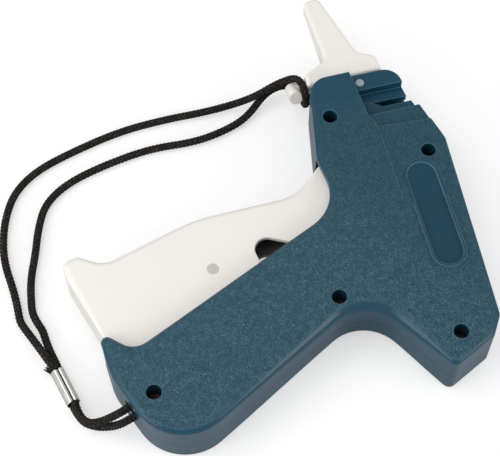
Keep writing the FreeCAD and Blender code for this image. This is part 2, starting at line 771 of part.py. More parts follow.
def right_housing(cavity, mouth, shared):
    """The lower half, with the screws' pilots, the feed wheel's well and the lock lever's pocket."""
    shell = housing_shell("right", "0", 0)
    room = cut("right_room", cavity, *posts("right"))
    tools = [room, mouth] + feed_room()
    tools.append(stadium("lower_panel", "0", "-1", "1 + Dim.lower_panel_depth"))
    tools.append(box("lock_lever_pocket", "Dim.lock_x - Dim.lock_hub_r - Dim.running_gap",
                     "Dim.lock_y - Dim.lock_hub_r - Dim.running_gap", "-1", "40", "40",
                     "Dim.lock_lever_high + Dim.running_gap + 1"))
    for screw in SCREWS:
        tools.append(through(screw + "_pilot", screw, "Dim.screw_shank_r + Dim.seat_gap",
                             "Dim.screw_end - Dim.running_gap", PARTING + " + 1"))
    finish(cut("right_half", shell, *(tools + shared)), "right_housing")


def housing_screws():
    """Five self-tapping screws whose heads sit deep in the upper half."""
    made = []
    for screw in SCREWS:
        head = through(screw + "_head", screw, "Dim.screw_head_r", "Dim.screw_seat",
                       "Dim.screw_seat + Dim.screw_head_height")
        shank = through(screw + "_shank", screw, "Dim.screw_shank_r", "Dim.screw_end", "Dim.screw_seat + 0.5")
        slots = []
        for name, length, width in (("_slot_a", 3.2, 0.7), ("_slot_b", 0.7, 3.2)):
            slots.append(box(screw + name, "Dim.%s_x - %g" % (screw, length / 2),
                             "Dim.%s_y - %g" % (screw, width / 2), "Dim.screw_seat + 0.9",
                             str(length), str(width), "5"))
        made.append(cut(screw + "_screw", fuse(screw + "_blank", head, shank), *slots))
    finish(fuse("screws", *made), "housing_screws")


def pivot_pins():
    """The steel pins of the trigger and of the drive lever, seated blind in both halves."""
    seat = "Dim.wall - Dim.pin_seat_depth"
    for corner, radius, label in (("pivot", "Dim.pivot_pin_r", "trigger_pivot_pin"),
                                  ("lever", "Dim.lever_pin_r", "drive_lever_pin")):
        finish(through(label, corner, radius, seat, "Dim.body_thickness - (%s)" % seat), label)


# ---------------------------------------------------------------- trigger
def trigger():
    """The white grip lever, hollow behind, that turns about its hub at the handle's foot."""
    low = "Dim.trigger_low"
    deep = "Dim.trigger_high - Dim.trigger_low"
    block = extrude("trigger_block", doc.getObject("trigger_outline"), low, deep)
    doc.recompute()
    edges = face_edges(block.Shape, size("trigger_high"), TRIGGER, TRIGGER_EDGES, "inner_edge")
    edges += face_edges(block.Shape, size("trigger_low"), TRIGGER, TRIGGER_EDGES, "inner_edge")
    shell = rounded("trigger_shell", block, edges)
    pocket_low = "Dim.trigger_low + Dim.trigger_wall"
    pocket_high = "Dim.trigger_high - Dim.trigger_wall"
    hollow = extrude("trigger_hollow", doc.getObject("pocket_outline"), pocket_low,
                     "(%s) - (%s)" % (pocket_high, pocket_low))
    hub = through("trigger_hub", "pivot", "Dim.pivot_hub_r", low, "Dim.trigger_high")
    boss = through("insert_boss", "insert", "Dim.insert_boss_r", low, "Dim.trigger_high")
    pad = through("trigger_pad", "pad", "Dim.pad_r", low, "Dim.trigger_high")
    plate = heading_bar("spring_plate_bar", -size("spring_plate"), "Dim.spring_plate", low, "Dim.trigger_high")
    peg = heading_rod("spring_peg", "Dim.spring_peg_r", -1, "Dim.spring_peg_length + 1")
    pocket = cut("trigger_pocket", hollow, hub, boss, pad, plate)
    fork = box("trigger_fork", "Dim.fork_rear_x", "-60", PARTING + " - Dim.fork_gap / 2", "60", "120",
               "Dim.fork_gap")
    bore = through("trigger_bore", "pivot", "Dim.pivot_pin_r + Dim.shaft_gap", "0", "Dim.body_thickness")
    seat = through("insert_bore", "insert", "Dim.insert_r + Dim.seat_gap", "0", "Dim.body_thickness")
    body = cut("trigger_body", shell, pocket, fork, bore, seat)
    finish(fuse("trigger_whole", body, peg), "trigger")
    finish(through("insert_pin", "insert", "Dim.insert_r", low, "Dim.trigger_high"), "trigger_insert")


def heading_rod(name, radius, start, length):
    """A round bar along the return spring's line, at the parting level."""
    thing = doc.addObject("Part::Cylinder", name)
    turn = Rotation(Vector(0, 0, 1), size("spring_heading"))
    thing.Placement = FreeCAD.Placement(spring_point(start), turn.multiply(Rotation(Vector(0, 1, 0), 90)))
    return bind(thing, Radius=radius, Height=length, Placement__Base__z=PARTING)


def spring_point(along):
    """A point on the return spring's line, some way from its seat on the trigger."""
    turn = Rotation(Vector(0, 0, 1), size("spring_heading"))
    first = Vector(size("spring_x"), size("spring_y"), size("body_thickness") / 2)
    return first + turn.multVec(Vector(along, 0, 0))


def return_spring():
    """The coil spring between the trigger's plate and the seat in the handle."""
    wire = size("spring_wire_r")
    inset = wire + size("spring_end_gap")
    coil = doc.addObject("Part::Helix", "spring_coil")
    bind(coil, Radius="Dim.spring_r", Height="Dim.spring_length - 2 * (Dim.spring_wire_r + Dim.spring_end_gap)",
         Pitch="(Dim.spring_length - 2 * (Dim.spring_wire_r + Dim.spring_end_gap)) / Dim.spring_turns")
    section = doc.addObject("Part::Circle", "spring_section")
    bind(section, Radius="Dim.spring_wire_r")
    section.Placement = FreeCAD.Placement(Vector(), Rotation(Vector(1, 0, 0), 90))
    place(section, "Dim.spring_r")
    doc.recompute()
    thing = doc.addObject("Part::Sweep", "spring_wire")
    thing.Sections = [section]
    thing.Spine = (coil, ["Edge%d" % n for n in range(1, len(coil.Shape.Edges) + 1)])
    thing.Solid = True
    thing.Frenet = True
    turn = Rotation(Vector(0, 0, 1), size("spring_heading")).multiply(Rotation(Vector(0, 1, 0), 90))
    thing.Placement = FreeCAD.Placement(spring_point(inset), turn)
    finish(thing, "return_spring")


# ---------------------------------------------------------------- drive
def lever_bar(name, start, end, low, high, z_low, z_high):
    """A block along the drive lever's arm at rest, between two distances from its pivot."""
    thing = doc.addObject("Part::Box", name)
    bind(thing, Length="(%s) - (%s)" % (end, start), Width="(%s) - (%s)" % (high, low),
         Height="(%s) - (%s)" % (z_high, z_low))
    turn = Rotation(Vector(0, 0, 1), size("lever_rest_angle"))
    thing.Placement = FreeCAD.Placement(Vector(), turn)
    cos = "cos(Dim.lever_rest_angle * 1 deg)"
    sin = "sin(Dim.lever_rest_angle * 1 deg)"
    return place(thing, "Dim.lever_x + (%s) * %s - (%s) * %s" % (start, cos, low, sin),
                 "Dim.lever_y + (%s) * %s + (%s) * %s" % (start, sin, low, cos), z_low)


def drive_lever():
    """The lever that multiplies the trigger's small swing into the slide's long stroke."""
    low = PARTING + " - Dim.lever_thickness / 2"
    high = PARTING + " + Dim.lever_thickness / 2"
    hub = through("lever_hub", "lever", "Dim.lever_hub_r", PARTING + " - Dim.lever_hub_height / 2",
                  PARTING + " + Dim.lever_hub_height / 2")
    waist = lever_bar("lever_waist", "0", "Dim.lever_waist_end + 1", "Dim.lever_waist_low",
                      "Dim.lever_waist_high", low, high)
    blade = lever_bar("lever_blade", "Dim.lever_waist_end", "Dim.lever_reach", "-Dim.lever_arm_half",
                      "Dim.lever_arm_half", low, high)
    slot = lever_bar("lever_slot", "Dim.lever_slot_start", "Dim.lever_slot_end", "-Dim.lever_slot_half",
                     "Dim.lever_slot_half", "0", "Dim.body_thickness")
    foot_x = "Dim.lever_x + Dim.lever_foot * cos(Dim.lever_foot_angle * 1 deg)"
    foot_y = "Dim.lever_y + Dim.lever_foot * sin(Dim.lever_foot_angle * 1 deg)"
    foot = cylinder("lever_foot_round", "Dim.lever_foot_r", "Dim.lever_thickness", foot_x, foot_y, low)
    neck = doc.addObject("Part::Box", "lever_foot_neck")
    bind(neck, Length="Dim.lever_foot", Width="2 * Dim.lever_foot_r", Height="Dim.lever_thickness")
    neck.Placement = FreeCAD.Placement(Vector(), Rotation(Vector(0, 0, 1), size("lever_foot_angle")))
    place(neck, "Dim.lever_x + Dim.lever_foot_r * sin(Dim.lever_foot_angle * 1 deg)",
          "Dim.lever_y - Dim.lever_foot_r * cos(Dim.lever_foot_angle * 1 deg)", low)
    bore = through("lever_bore", "lever", "Dim.lever_pin_r + Dim.shaft_gap", "0", "Dim.body_thickness")
    whole = fuse("lever_blank", hub, waist, blade, foot, neck)
    finish(cut("lever", whole, slot, bore), "drive_lever")


def slide():
    """The block that rides the rail, with the pin that the lever pushes and the rod that it carries."""
    rear = "Dim.slide_rest_y - Dim.slide_rear"
    block = box("slide_blank", "-Dim.slide_half_width", rear, "Dim.slide_low", "2 * Dim.slide_half_width",
                "Dim.slide_rear + Dim.slide_front", "Dim.slide_high - Dim.slide_low")
    gap = "Dim.lever_thickness / 2 + Dim.slide_slot_gap"
    slot = box("slide_slot", "-20", rear + " - 1", PARTING + " - (%s)" % gap, "40",
               "Dim.slide_rear + Dim.slide_slot_front + 1", "2 * (%s)" % gap)
    groove = box("slide_groove", "-Dim.rail_half_width - Dim.running_gap", rear + " - 1", "0",
                 "2 * (Dim.rail_half_width + Dim.running_gap)", "60", "Dim.rail_top + Dim.running_gap")
    pin_low = "Dim.rail_top + Dim.running_gap"
    pin_hole = cylinder("drive_pin_hole", "Dim.drive_pin_r + Dim.seat_gap", "20", "0", "Dim.slide_rest_y",
                        pin_low)
    rod_hole = cylinder("rod_hole", "Dim.rod_r + Dim.seat_gap", "20", "0",
                        "Dim.slide_rest_y + Dim.slide_slot_front", PARTING, "Y")
    finish(cut("slide", block, slot, groove, pin_hole, rod_hole), "slide_block")
    finish(cylinder("pin", "Dim.drive_pin_r", "Dim.slide_high - (%s) - 0.1" % pin_low, "0", "Dim.slide_rest_y",
                    pin_low + " + 0.1"), "drive_pin")
    finish(cylinder("rod", "Dim.rod_r", "Dim.rod_tip_y - (Dim.slide_rest_y + Dim.slide_slot_front)", "0",
                    "Dim.slide_rest_y + Dim.slide_slot_front", PARTING, "Y"), "push_rod")
    finish(box("rail", "-Dim.rail_half_width", "Dim.rail_rear_y", "Dim.wall", "2 * Dim.rail_half_width",
               "Dim.rail_front_y - Dim.rail_rear_y", "Dim.rail_top - Dim.wall"), "slide_rail")


# ---------------------------------------------------------------- feed
def feed_wheel():
    """The notched wheel that draws the fasteners across, its shaft and the leaf that indexes it."""
    wheel = cylinder("wheel_blank", "Dim.wheel_r", "Dim.wheel_width", "Dim.wheel_x", "Dim.wheel_rear_y",
                     "Dim.wheel_z", "Y")
    notches = []
    count = int(size("wheel_teeth"))
    for tooth in range(count):
        turn = "(%d * 360 / Dim.wheel_teeth + 180 / Dim.wheel_teeth) * 1 deg" % tooth
        notches.append(cylinder("notch_%d" % tooth, "Dim.tooth_gap_r", "20",
                                "Dim.wheel_x + Dim.wheel_r * cos(%s)" % turn, "Dim.wheel_rear_y - 5",
                                "Dim.wheel_z + Dim.wheel_r * sin(%s)" % turn, "Y"))
    bore = cylinder("wheel_bore", "Dim.shaft_r + Dim.seat_gap", "20", "Dim.wheel_x", "Dim.wheel_rear_y - 5",
                    "Dim.wheel_z", "Y")
    finish(cut("wheel", wheel, bore, *notches), "feed_wheel")
    gap = size("shaft_gap")
    finish(cylinder("shaft", "Dim.shaft_r", "Dim.shaft_front_y - Dim.shaft_rear_y - %g" % (2 * gap),
                    "Dim.wheel_x", "Dim.shaft_rear_y + %g" % gap, "Dim.wheel_z", "Y"), "feed_wheel_shaft")
    floor = "Dim.wheel_z - Dim.wheel_r - Dim.running_gap"
    finish(box("leaf", "Dim.wheel_x + Dim.wheel_r + Dim.running_gap", "Dim.wheel_rear_y", floor,
               "Dim.leaf_thickness", "Dim.wheel_width", "Dim.leaf_height"), "index_leaf_spring")


# ---------------------------------------------------------------- needle
def needle():
    """The hollow needle, open along the side where the fastener's thread runs."""
    length = "Dim.needle_tip_y - Dim.needle_rear_y"
    tube = cylinder("needle_tube", "Dim.needle_r", length, "0", "Dim.needle_rear_y", PARTING, "Y")
    bore = cylinder("needle_bore", "Dim.needle_bore_r", "60", "0", "Dim.needle_rear_y - 1", PARTING, "Y")
    slot = box("needle_slot_cut", "0", "Dim.needle_rear_y - 1", PARTING + " - Dim.needle_slot / 2", "10", "60",
               "Dim.needle_slot")
    bevel = doc.addObject("Part::Box", "needle_bevel_cut")
    bind(bevel, Length="20", Width="20", Height="20")
    slope = math.degrees(math.atan2(2 * size("needle_r"), size("needle_bevel")))
    bevel.Placement = FreeCAD.Placement(Vector(), Rotation(Vector(0, 0, 1), slope))
    place(bevel, "Dim.needle_r", "Dim.needle_tip_y - Dim.needle_bevel", "Dim.body_thickness / 2 - 10")
    finish(cut("needle_solid", tube, bore, slot, bevel), "needle")


def needle_holder():
    """The block that the needle is moulded into, with the ear that the lock pin keeps."""
    length = "Dim.nose_front_y - Dim.holder_rear_y"
    block = box("holder_block", "-Dim.holder_half_width", "Dim.holder_rear_y", PARTING + " - Dim.holder_half_height",
                "2 * Dim.holder_half_width", length, "2 * Dim.holder_half_height")
    ear = box("holder_ear", "0", "Dim.lock_y - Dim.ear_half_width", PARTING + " - Dim.holder_half_height",
              "Dim.lock_x - Dim.shaft_gap", "2 * Dim.ear_half_width", "2 * Dim.holder_half_height")
    snout = cylinder("holder_snout", "Dim.snout_r", "Dim.snout_front_y - Dim.holder_rear_y", "0",
                     "Dim.holder_rear_y", PARTING, "Y")
    grip = through("holder_notch", "lock", "Dim.lock_pin_r + Dim.shaft_gap", "0", "Dim.body_thickness")
    hole = cylinder("holder_bore", "Dim.needle_r + Dim.seat_gap", "60", "0", "Dim.holder_rear_y - 1", PARTING, "Y")
    slot = box("holder_slot", "0", "Dim.holder_rear_y - 1", PARTING + " - Dim.needle_slot / 2", "20", "60",
               "Dim.needle_slot")
    finish(cut("holder", fuse("holder_blank", block, ear, snout), grip, hole, slot), "needle_holder")


def needle_lock():
    """The lever on the right side whose flatted pin frees the needle holder."""
    pin = through("lock_bar", "lock", "Dim.lock_pin_r", "Dim.lock_lever_low", "Dim.level_front")
    flat = box("lock_flat", "Dim.lock_x + Dim.lock_flat", "Dim.lock_y - 5", PARTING + " - Dim.holder_half_height",
               "10", "10", "2 * Dim.holder_half_height")
    finish(cut("lock_pin", pin, flat), "needle_lock_pin")
    low = "Dim.lock_lever_low"
    high = "Dim.lock_lever_high"
    hub = through("lock_hub", "lock", "Dim.lock_hub_r", low, high)
    arm = box("lock_arm", "Dim.lock_x", "Dim.lock_y - Dim.lock_hub_r", low,
              "Dim.lock_lever_length - Dim.lock_hub_r", "2 * Dim.lock_hub_r", "Dim.lock_lever_high - Dim.lock_lever_low")
    end = cylinder("lock_arm_end", "Dim.lock_hub_r", "Dim.lock_lever_high - Dim.lock_lever_low",
                   "Dim.lock_x + Dim.lock_lever_length - Dim.lock_hub_r", "Dim.lock_y", low)
    bore = through("lock_lever_bore", "lock", "Dim.lock_pin_r + Dim.seat_gap", "0", "Dim.body_thickness")
    finish(cut("lock_lever", fuse("lock_lever_blank", hub, arm, end), bore), "needle_lock_lever")


def knife_blade():
    """The small blade behind the needle that parts the fastener's thread."""
    left = "Dim.needle_r + Dim.blade_clearance"
    low = PARTING + " - Dim.blade_half_height"
    block = box("blade_back", left + " + Dim.blade_bevel", "Dim.blade_y", low,
                "Dim.blade_length - Dim.blade_bevel", "Dim.blade_thickness", "2 * Dim.blade_half_height")
    edge = doc.addObject("Part::Wedge", "blade_bevel")
    bind(edge, Xmin="0", Xmax="Dim.blade_thickness", X2min="0", X2max="Dim.blade_thickness / 8",
         Ymin="0", Ymax="Dim.blade_bevel", Zmin="0", Zmax="2 * Dim.blade_half_height", Z2min="0",
         Z2max="2 * Dim.blade_half_height")
    edge.Placement = FreeCAD.Placement(Vector(), Rotation(Vector(0, 0, 1), 90))
    place(edge, left + " + Dim.blade_bevel", "Dim.blade_y", low)
    finish(fuse("blade", block, edge), "knife_blade")


# ---------------------------------------------------------------- needle cap
def needle_cap():
    """The pull-off cap over the needle, with the side peg that the strap is hitched to."""
    plan = extrude("cap_plan", doc.getObject("cap_outline"), "0", "Dim.body_thickness")
    side = doc.addObject("Part::Wedge", "cap_side")
    half = "Dim.body_thickness / 2"
    bind(side, Xmin="-40", Xmax="40", X2min="-40", X2max="40", Ymin="Dim.cap_base_y", Ymax="Dim.cap_tip_y + 1",
         Zmin=half + " - Dim.cap_base_half_height", Zmax=half + " + Dim.cap_base_half_height",
         Z2min=half + " - Dim.cap_tip_half_height", Z2max=half + " + Dim.cap_tip_half_height")
    blank = common("cap_blank", plan, side)
    doc.recompute()
    shell = rounded("cap_shell", blank, cap_edges(blank.Shape))
    neck = box("cap_neck", "Dim.peg_neck_left_x", "Dim.peg_neck_rear_y", half + " - Dim.peg_neck_half_height",
               "Dim.peg_neck_right_x - Dim.peg_neck_left_x", "Dim.peg_neck_front_y - Dim.peg_neck_rear_y",
               "2 * Dim.peg_neck_half_height")
    peg = doc.addObject("Part::Cylinder", "cap_peg")
    peg.Placement = FreeCAD.Placement(Vector(), Rotation(Vector(1, 0, 0), 90 - size("peg_lean")))
    bind(peg, Radius="Dim.peg_r", Height="Dim.peg_length")
    place(peg, "Dim.peg_x", "Dim.peg_root_y", half + " - Dim.peg_root_drop")
    bore = cylinder("cap_bore", "Dim.cap_bore_r", "Dim.cap_bore_end_y - 40", "0", "40", half, "Y")
    socket = cylinder("cap_socket", "Dim.snout_r + Dim.shaft_gap", "Dim.snout_front_y + Dim.running_gap - 40",
                      "0", "40", half, "Y")
    finish(cut("cap", fuse("cap_solid", shell, neck, peg), bore, socket), "needle_cap")


def cap_edges(shape):
    """The long edges along the upper and lower faces of the cap."""
    chosen = []
    middle = size("body_thickness") / 2
    for index, edge in enumerate(shape.Edges, 1):
        level = abs(edge.CenterOfMass.z - middle)
        flat = abs(edge.Vertexes[0].Point.z - middle) > 1 and abs(edge.Vertexes[-1].Point.z - middle) > 1
        same_side = (edge.Vertexes[0].Point.z - middle) * (edge.Vertexes[-1].Point.z - middle) > 0
        rear = edge.BoundBox.YMax < size("cap_base_y") + 0.01
        if flat and same_side and level > 1 and not rear:
            chosen.append((index, size("cap_edge"), size("cap_edge")))
    return chosen


# ---------------------------------------------------------------- wrist strap
def tube_path(points):
    """Straight runs joined by tangent arcs, each as large as its two runs allow."""
    edges = []
    radii = []
    here = points[0]
    for before, corner, after in zip(points, points[1:], points[2:]):
        back = (before - corner).normalize()
        ahead = (after - corner).normalize()
        reach = ARC_SHARE * min(before.distanceToPoint(corner), after.distanceToPoint(corner))
        half = back.getAngle(ahead) / 2
        radius = reach * math.tan(half)
        centre = corner + (back + ahead).normalize() * (radius / math.sin(half))
        middle = centre + (corner - centre).normalize() * radius
        first = corner + back * reach
        last = corner + ahead * reach
        edges.append(Part.LineSegment(here, first).toShape())
        edges.append(Part.Arc(first, middle, last).toShape())
        radii.append(radius)
        here = last
    edges.append(Part.LineSegment(here, points[-1]).toShape())
    return Part.Wire(edges), radii


def tube(name, rows):
    """The strap's cord along a list of points, checked against its section times its length."""
    points = [Vector(*row) for row in rows]
    path, radii = tube_path(points)
    along = (points[1] - points[0]).normalize()
    ring = Part.Wire([Part.Circle(points[0], along, size("cord_r")).toShape()])
    solid = path.makePipeShell([ring], True, False)
    share = solid.Volume / (math.pi * size("cord_r") ** 2 * path.Length)
    print("%s length %.1f volume share %.4f" % (name, path.Length, share))
    print("%s bend radii %s" % (name, " ".join("%.1f" % radius for radius in radii)))
    return solid


def wrist_strap():
    """The cord in its nodes, parted beside the cap so that the hitch can leave with it."""
    whole = tube("strap", STRAP_OUTER + STRAP_HITCH + STRAP_INNER)
    line = size("strap_part_x")
    beyond = Part.makeBox(200, 400, 200, Vector(line, -200, -100))
    behind = Part.makeBox(400, 400, 200, Vector(line - size("strap_part_gap") - 400, -200, -100))
    shape_node("strap_hitch", whole.common(beyond))
    shape_node("strap_cord", whole.common(behind))
    shape_node("strap_tail", tube("tail", STRAP_TAIL))


def strap_ferrule():
    """The crimped metal sleeve, two lobes side by side, that gathers the strap's strands."""
    turn = Rotation(Vector(0, 0, 1), size("ferrule_heading"))
    along = turn.multVec(Vector(1, 0, 0))
    across = turn.multVec(Vector(0, 1, 0))
    tilt = math.radians(size("lobe_tilt"))
    aside = (across * math.cos(tilt) + Vector(0, 0, 1) * math.sin(tilt)) * (size("lobe_spread") / 2)
    height = size("lobe_r") + size("lobe_spread") / 2 * math.sin(tilt)
    first = Vector(size("ferrule_x"), size("ferrule_y"), height) - along * (size("ferrule_length") / 2)
    lobes = []
    for sign in (-1, 1):
        lobe = doc.addObject("Part::Cylinder", "ferrule_lobe_%s" % ("low" if sign < 0 else "high"))
        bind(lobe, Radius="Dim.lobe_r", Height="Dim.ferrule_length")
        lobe.Placement = FreeCAD.Placement(first + aside * sign, Rotation(Vector(0, 0, 1), along))
        lobes.append(lobe)
    finish(fuse("ferrule", *lobes), "strap_ferrule")


# ---------------------------------------------------------------- build and write
def build():
    outline("housing_outline", HOUSING)
    outline("recess_outline", RECESS)
    outline("mouth_outline", TRIGGER_MOUTH)
    outline("trigger_outline", TRIGGER)
    outline("pocket_outline", TRIGGER_POCKET)
    outline("cap_outline", CAP)
    doc.recompute()
    cavity = housing_cavity()
    mouth = trigger_mouth()
    shared = pin_holes() + nose_holes()
    left_housing(cavity, mouth, shared)
    right_housing(cavity, mouth, shared)
    housing_screws()
    pivot_pins()
    trigger()
    return_spring()
    drive_lever()
    slide()
    feed_wheel()
    needle()
    needle_holder()
    needle_lock()
    knife_blade()
    needle_cap()
    wrist_strap()
    strap_ferrule()
    doc.recompute()


def check():
    """Stop before anything is written if an object or a node's shape failed."""
    for thing in doc.Objects:
        if "Invalid" in thing.State or "Error" in thing.State:
            raise RuntimeError("%s is %s" % (thing.Name, thing.State))
    for node in nodes:
        shape = node.Shape
        if shape.isNull() or not shape.isValid() or not shape.Solids:
            raise RuntimeError("the shape of %s is not a valid solid" % node.Label)


def write():
    os.makedirs("parts", exist_ok=True)
    for node in nodes:
        node.Shape.exportStep("parts/%s.step" % node.Label)
        box_ = node.Shape.optimalBoundingBox(True, False)
        print("%-20s solids %d volume %.1f  x %.2f..%.2f  y %.2f..%.2f  z %.2f..%.2f" % (
            node.Label, len(node.Shape.Solids), node.Shape.Volume, box_.XMin, box_.XMax, box_.YMin,
            box_.YMax, box_.ZMin, box_.ZMax))


build()
check()
write()
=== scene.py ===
"""Finish of the garment tag attacher: camera, cords, metal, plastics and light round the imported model."""
import math

import bpy
import numpy as np
from mathutils import Matrix, Vector


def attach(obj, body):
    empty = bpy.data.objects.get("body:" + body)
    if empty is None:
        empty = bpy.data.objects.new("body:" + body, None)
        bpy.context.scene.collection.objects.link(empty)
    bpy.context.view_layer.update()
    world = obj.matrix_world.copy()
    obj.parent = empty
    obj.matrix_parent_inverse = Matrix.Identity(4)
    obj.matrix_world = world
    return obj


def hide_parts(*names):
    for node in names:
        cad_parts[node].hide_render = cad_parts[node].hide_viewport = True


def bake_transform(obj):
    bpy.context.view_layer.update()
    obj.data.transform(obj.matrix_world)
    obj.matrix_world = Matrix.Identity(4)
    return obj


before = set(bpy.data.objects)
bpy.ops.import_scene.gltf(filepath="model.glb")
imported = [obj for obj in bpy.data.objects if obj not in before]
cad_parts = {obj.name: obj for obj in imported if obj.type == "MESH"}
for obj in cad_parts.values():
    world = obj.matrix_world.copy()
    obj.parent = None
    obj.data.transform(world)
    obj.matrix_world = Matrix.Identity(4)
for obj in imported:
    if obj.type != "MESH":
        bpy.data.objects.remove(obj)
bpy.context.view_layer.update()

MM = 0.001

# ---------------------------------------------------------------- where the camera stands
CAMERA_TILT = math.radians(27.0)
TURN = math.radians(14.5)
CAMERA_DISTANCE = 0.585
LOOKED_AT = Vector((-0.052176, 0.0, 0.013))
LENS = 108.0

# ---------------------------------------------------------------- the wrist strap's routes, in metres
OUTER_STRAND = [
    (-0.1373, -0.0355, 0.0043), (-0.1393, -0.0312, 0.0042), (-0.1413, -0.0258, 0.0036),
    (-0.1438, -0.0193, 0.0019), (-0.1464, -0.0130, 0.0015), (-0.1469, -0.0105, 0.0015),
    (-0.1467, -0.0045, 0.0015), (-0.1470, 0.0033, 0.0015),
    (-0.1482, 0.0140, 0.0015), (-0.1473, 0.0236, 0.0015), (-0.1443, 0.0345, 0.0015),
    (-0.1386, 0.0450, 0.0015), (-0.1282, 0.0526, 0.0015), (-0.1124, 0.0576, 0.0015),
    (-0.0914, 0.0623, 0.0015), (-0.0722, 0.0632, 0.0015), (-0.0560, 0.0623, 0.0020),
    (-0.0430, 0.0618, 0.0039), (-0.0336, 0.0614, 0.0072),
]
HITCH = [
    (-0.0242, 0.0628, 0.0112), (-0.0158, 0.0604, 0.01695), (-0.0158, 0.0497, 0.0174),
    (-0.0158, 0.0497, 0.00905), (-0.0158, 0.0608, 0.0087), (-0.0224, 0.0642, 0.0069),
    (-0.0296, 0.0634, 0.0044),
]
INNER_STRAND = [
    (-0.0390, 0.0554, 0.0023), (-0.0488, 0.0518, 0.0018), (-0.0627, 0.0496, 0.0015),
    (-0.0812, 0.0512, 0.0015), (-0.1007, 0.0483, 0.0015), (-0.1170, 0.0439, 0.0015),
    (-0.1278, 0.0366, 0.0015), (-0.1327, 0.0259, 0.0015), (-0.1358, 0.0153, 0.0015),
    (-0.1396, 0.0051, 0.0015), (-0.1412, -0.0045, 0.0015), (-0.1416, -0.0095, 0.0015),
    (-0.1405, -0.0137, 0.0015), (-0.1391, -0.0172, 0.0015), (-0.1388, -0.0212, 0.0016),
    (-0.1380, -0.0270, 0.0017), (-0.1367, -0.0322, 0.0018), (-0.1361, -0.0358, 0.0018),
]
TAIL_LOOP = [
    (-0.1330, -0.0500, 0.0045), (-0.1326, -0.0557, 0.0049), (-0.1298, -0.0602, 0.0056),
    (-0.1249, -0.0617, 0.0082), (-0.1193, -0.0620, 0.0122), (-0.1138, -0.0617, 0.0158),
    (-0.1062, -0.0561, 0.0160), (-0.0984, -0.0562, 0.0160), (-0.0984, -0.0676, 0.0152),
    (-0.1067, -0.0675, 0.0148), (-0.1094, -0.0640, 0.0146), (-0.1150, -0.0656, 0.0140),
    (-0.1188, -0.0652, 0.0100), (-0.1231, -0.0630, 0.0050), (-0.1276, -0.0607, 0.0022),
    (-0.1324, -0.0570, 0.0016), (-0.1339, -0.0503, 0.00165),
]
ROUTE_RESOLUTION = 32
PATH_STEP = 0.8 * MM

# ---------------------------------------------------------------- the strap's weave
BRAID_PITCH = 0.0062
BRAID_CARRIERS = 4
BRAID_STEP = BRAID_PITCH / 26
BRAID_CENTRE = 0.00114
BRAID_LIFT = 0.00015
STRAND_WIDTH = 0.00060
STRAND_THICKNESS = 0.00034
STRAND_CORNERS = (0, 48, 90, 132, 180, 270)
CORE_RADIUS = 0.00100
CORE_STEP = 1.2 * MM
CORE_SIDES = 8

# ---------------------------------------------------------------- the crimped sleeve
FERRULE_CENTRE = Vector((-0.1352, -0.0429, 0.0))
FERRULE_LENGTH = 0.0146
FERRULE_HEADING = math.radians(-76.1)
FERRULE_LEVEL = 2.75 * MM
FERRULE_RADIUS = 2.4 * MM
FERRULE_CORNERS = 56
FERRULE_TALLER = 1.12
FERRULE_STEPS = (0.25, 1.2, 5.4, 0.9, 5.4, 1.2, 0.25)
FERRULE_WALL = 0.32 * MM
FERRULE_LIP = 0.09 * MM
SEAM_ASIDE = 0.25 * MM
SEAM_WIDTH = 0.2 * MM
SEAM_DEPTH = 1.45 * MM
SEAM_REACH = 1.15 * MM

# ---------------------------------------------------------------- the frayed ends, ranges in millimetres
FRAY_SEED = 7
FILAMENTS = 46
FILAMENT_RADIUS = 0.19 * MM
FILAMENT_STEPS = 3
ROOT_ASIDE = (0.5, 1.9)
ROOT_HEIGHT = (1.6, 4.4)
LEAN_ASIDE = (0.1, 1.5)
LEAN_BACK = (0.6, 2.1)
LEAN_UP = (-0.4, 0.5)
LEAN_TIMES = 1.9
LEAN_BEND = 1.3
TIP_THINNING = 0.5

# ---------------------------------------------------------------- the housing's plastic, lengths in metres
TEAL = (0.0080, 0.0600, 0.1000)
PAINTED_GLINT_COLOUR = (0.150, 0.300, 0.345, 1.0)
EDGE_HIGHLIGHT_COLOUR = (0.115, 0.265, 0.320, 1.0)
PARTING_COLOUR = (0.002, 0.006, 0.009, 1.0)
SMOOTH_ROUGHNESS = 0.31
GRAINED_ROUGHNESS = 0.42
GRAIN_SIZE = 0.92 * MM
GRAIN_HEIGHT = 0.42 * MM
MID_LEVEL = 0.013
PANEL_X = 0.0164
PANEL_REAR_Y = -0.0344
PANEL_FRONT_Y = -0.0006
# Each pair is where a mask begins and where it is full.
FLAT_FACE = (0.80, 0.95)
OUTER_FACE = (0.0102, 0.0112)
BESIDE_PANEL = (0.0067, 0.0071)
PANEL_FIELD = (0.0062, 0.0056)
PANEL_LEVEL = (0.0110, 0.0115)
BEHIND_NOSE = (0.050, 0.024)
GLINT_FALLOFF = (0.02, -0.06)
LOW_GRAIN = (0.62, 0.45)
PARTING_LINE = (0.00030, 0.00016)
SIDE_FACE = (0.5, 0.3)
GRAIN_AT_NOSE = 0.15
GLINTS_AT_CORNER = 0.45
# How much of the plastic's own colour is left, then how much of a mask is used.
MOTTLED_SHADE = 0.93
LOW_GRAIN_SHADE = 0.45
PANEL_SHADE = 0.80
LOW_GRAIN_SHARE = 0.6
EDGE_HIGHLIGHT_SHARE = 0.9

# ---------------------------------------------------------------- shared effects
WANDER_SCALE = 0.6
FINE_SCALE = 1.7
SPREAD_SCALE = 0.45
DOME_SHARE = 0.55
FINE_SHARE = 0.6
GLINT_LINE = (0.026, 0.004)
GLINT_SPREAD = (0.36, 0.60)
EDGE_TURN = (0.995, 0.90)
SHADING_SAMPLES = 6
CLOUD_RANGE = (0.3, 0.7)
SPECK_RANGE = (0.66, 0.76)
SPECK_SCALE = 32.0
MOULDED_EDGE = 0.35 * MM
STREAK_SCALE = 1500.0
STREAK_STRETCH = (18.0, 1.0, 1.0)
FILAMENT_SCALE = 1300.0
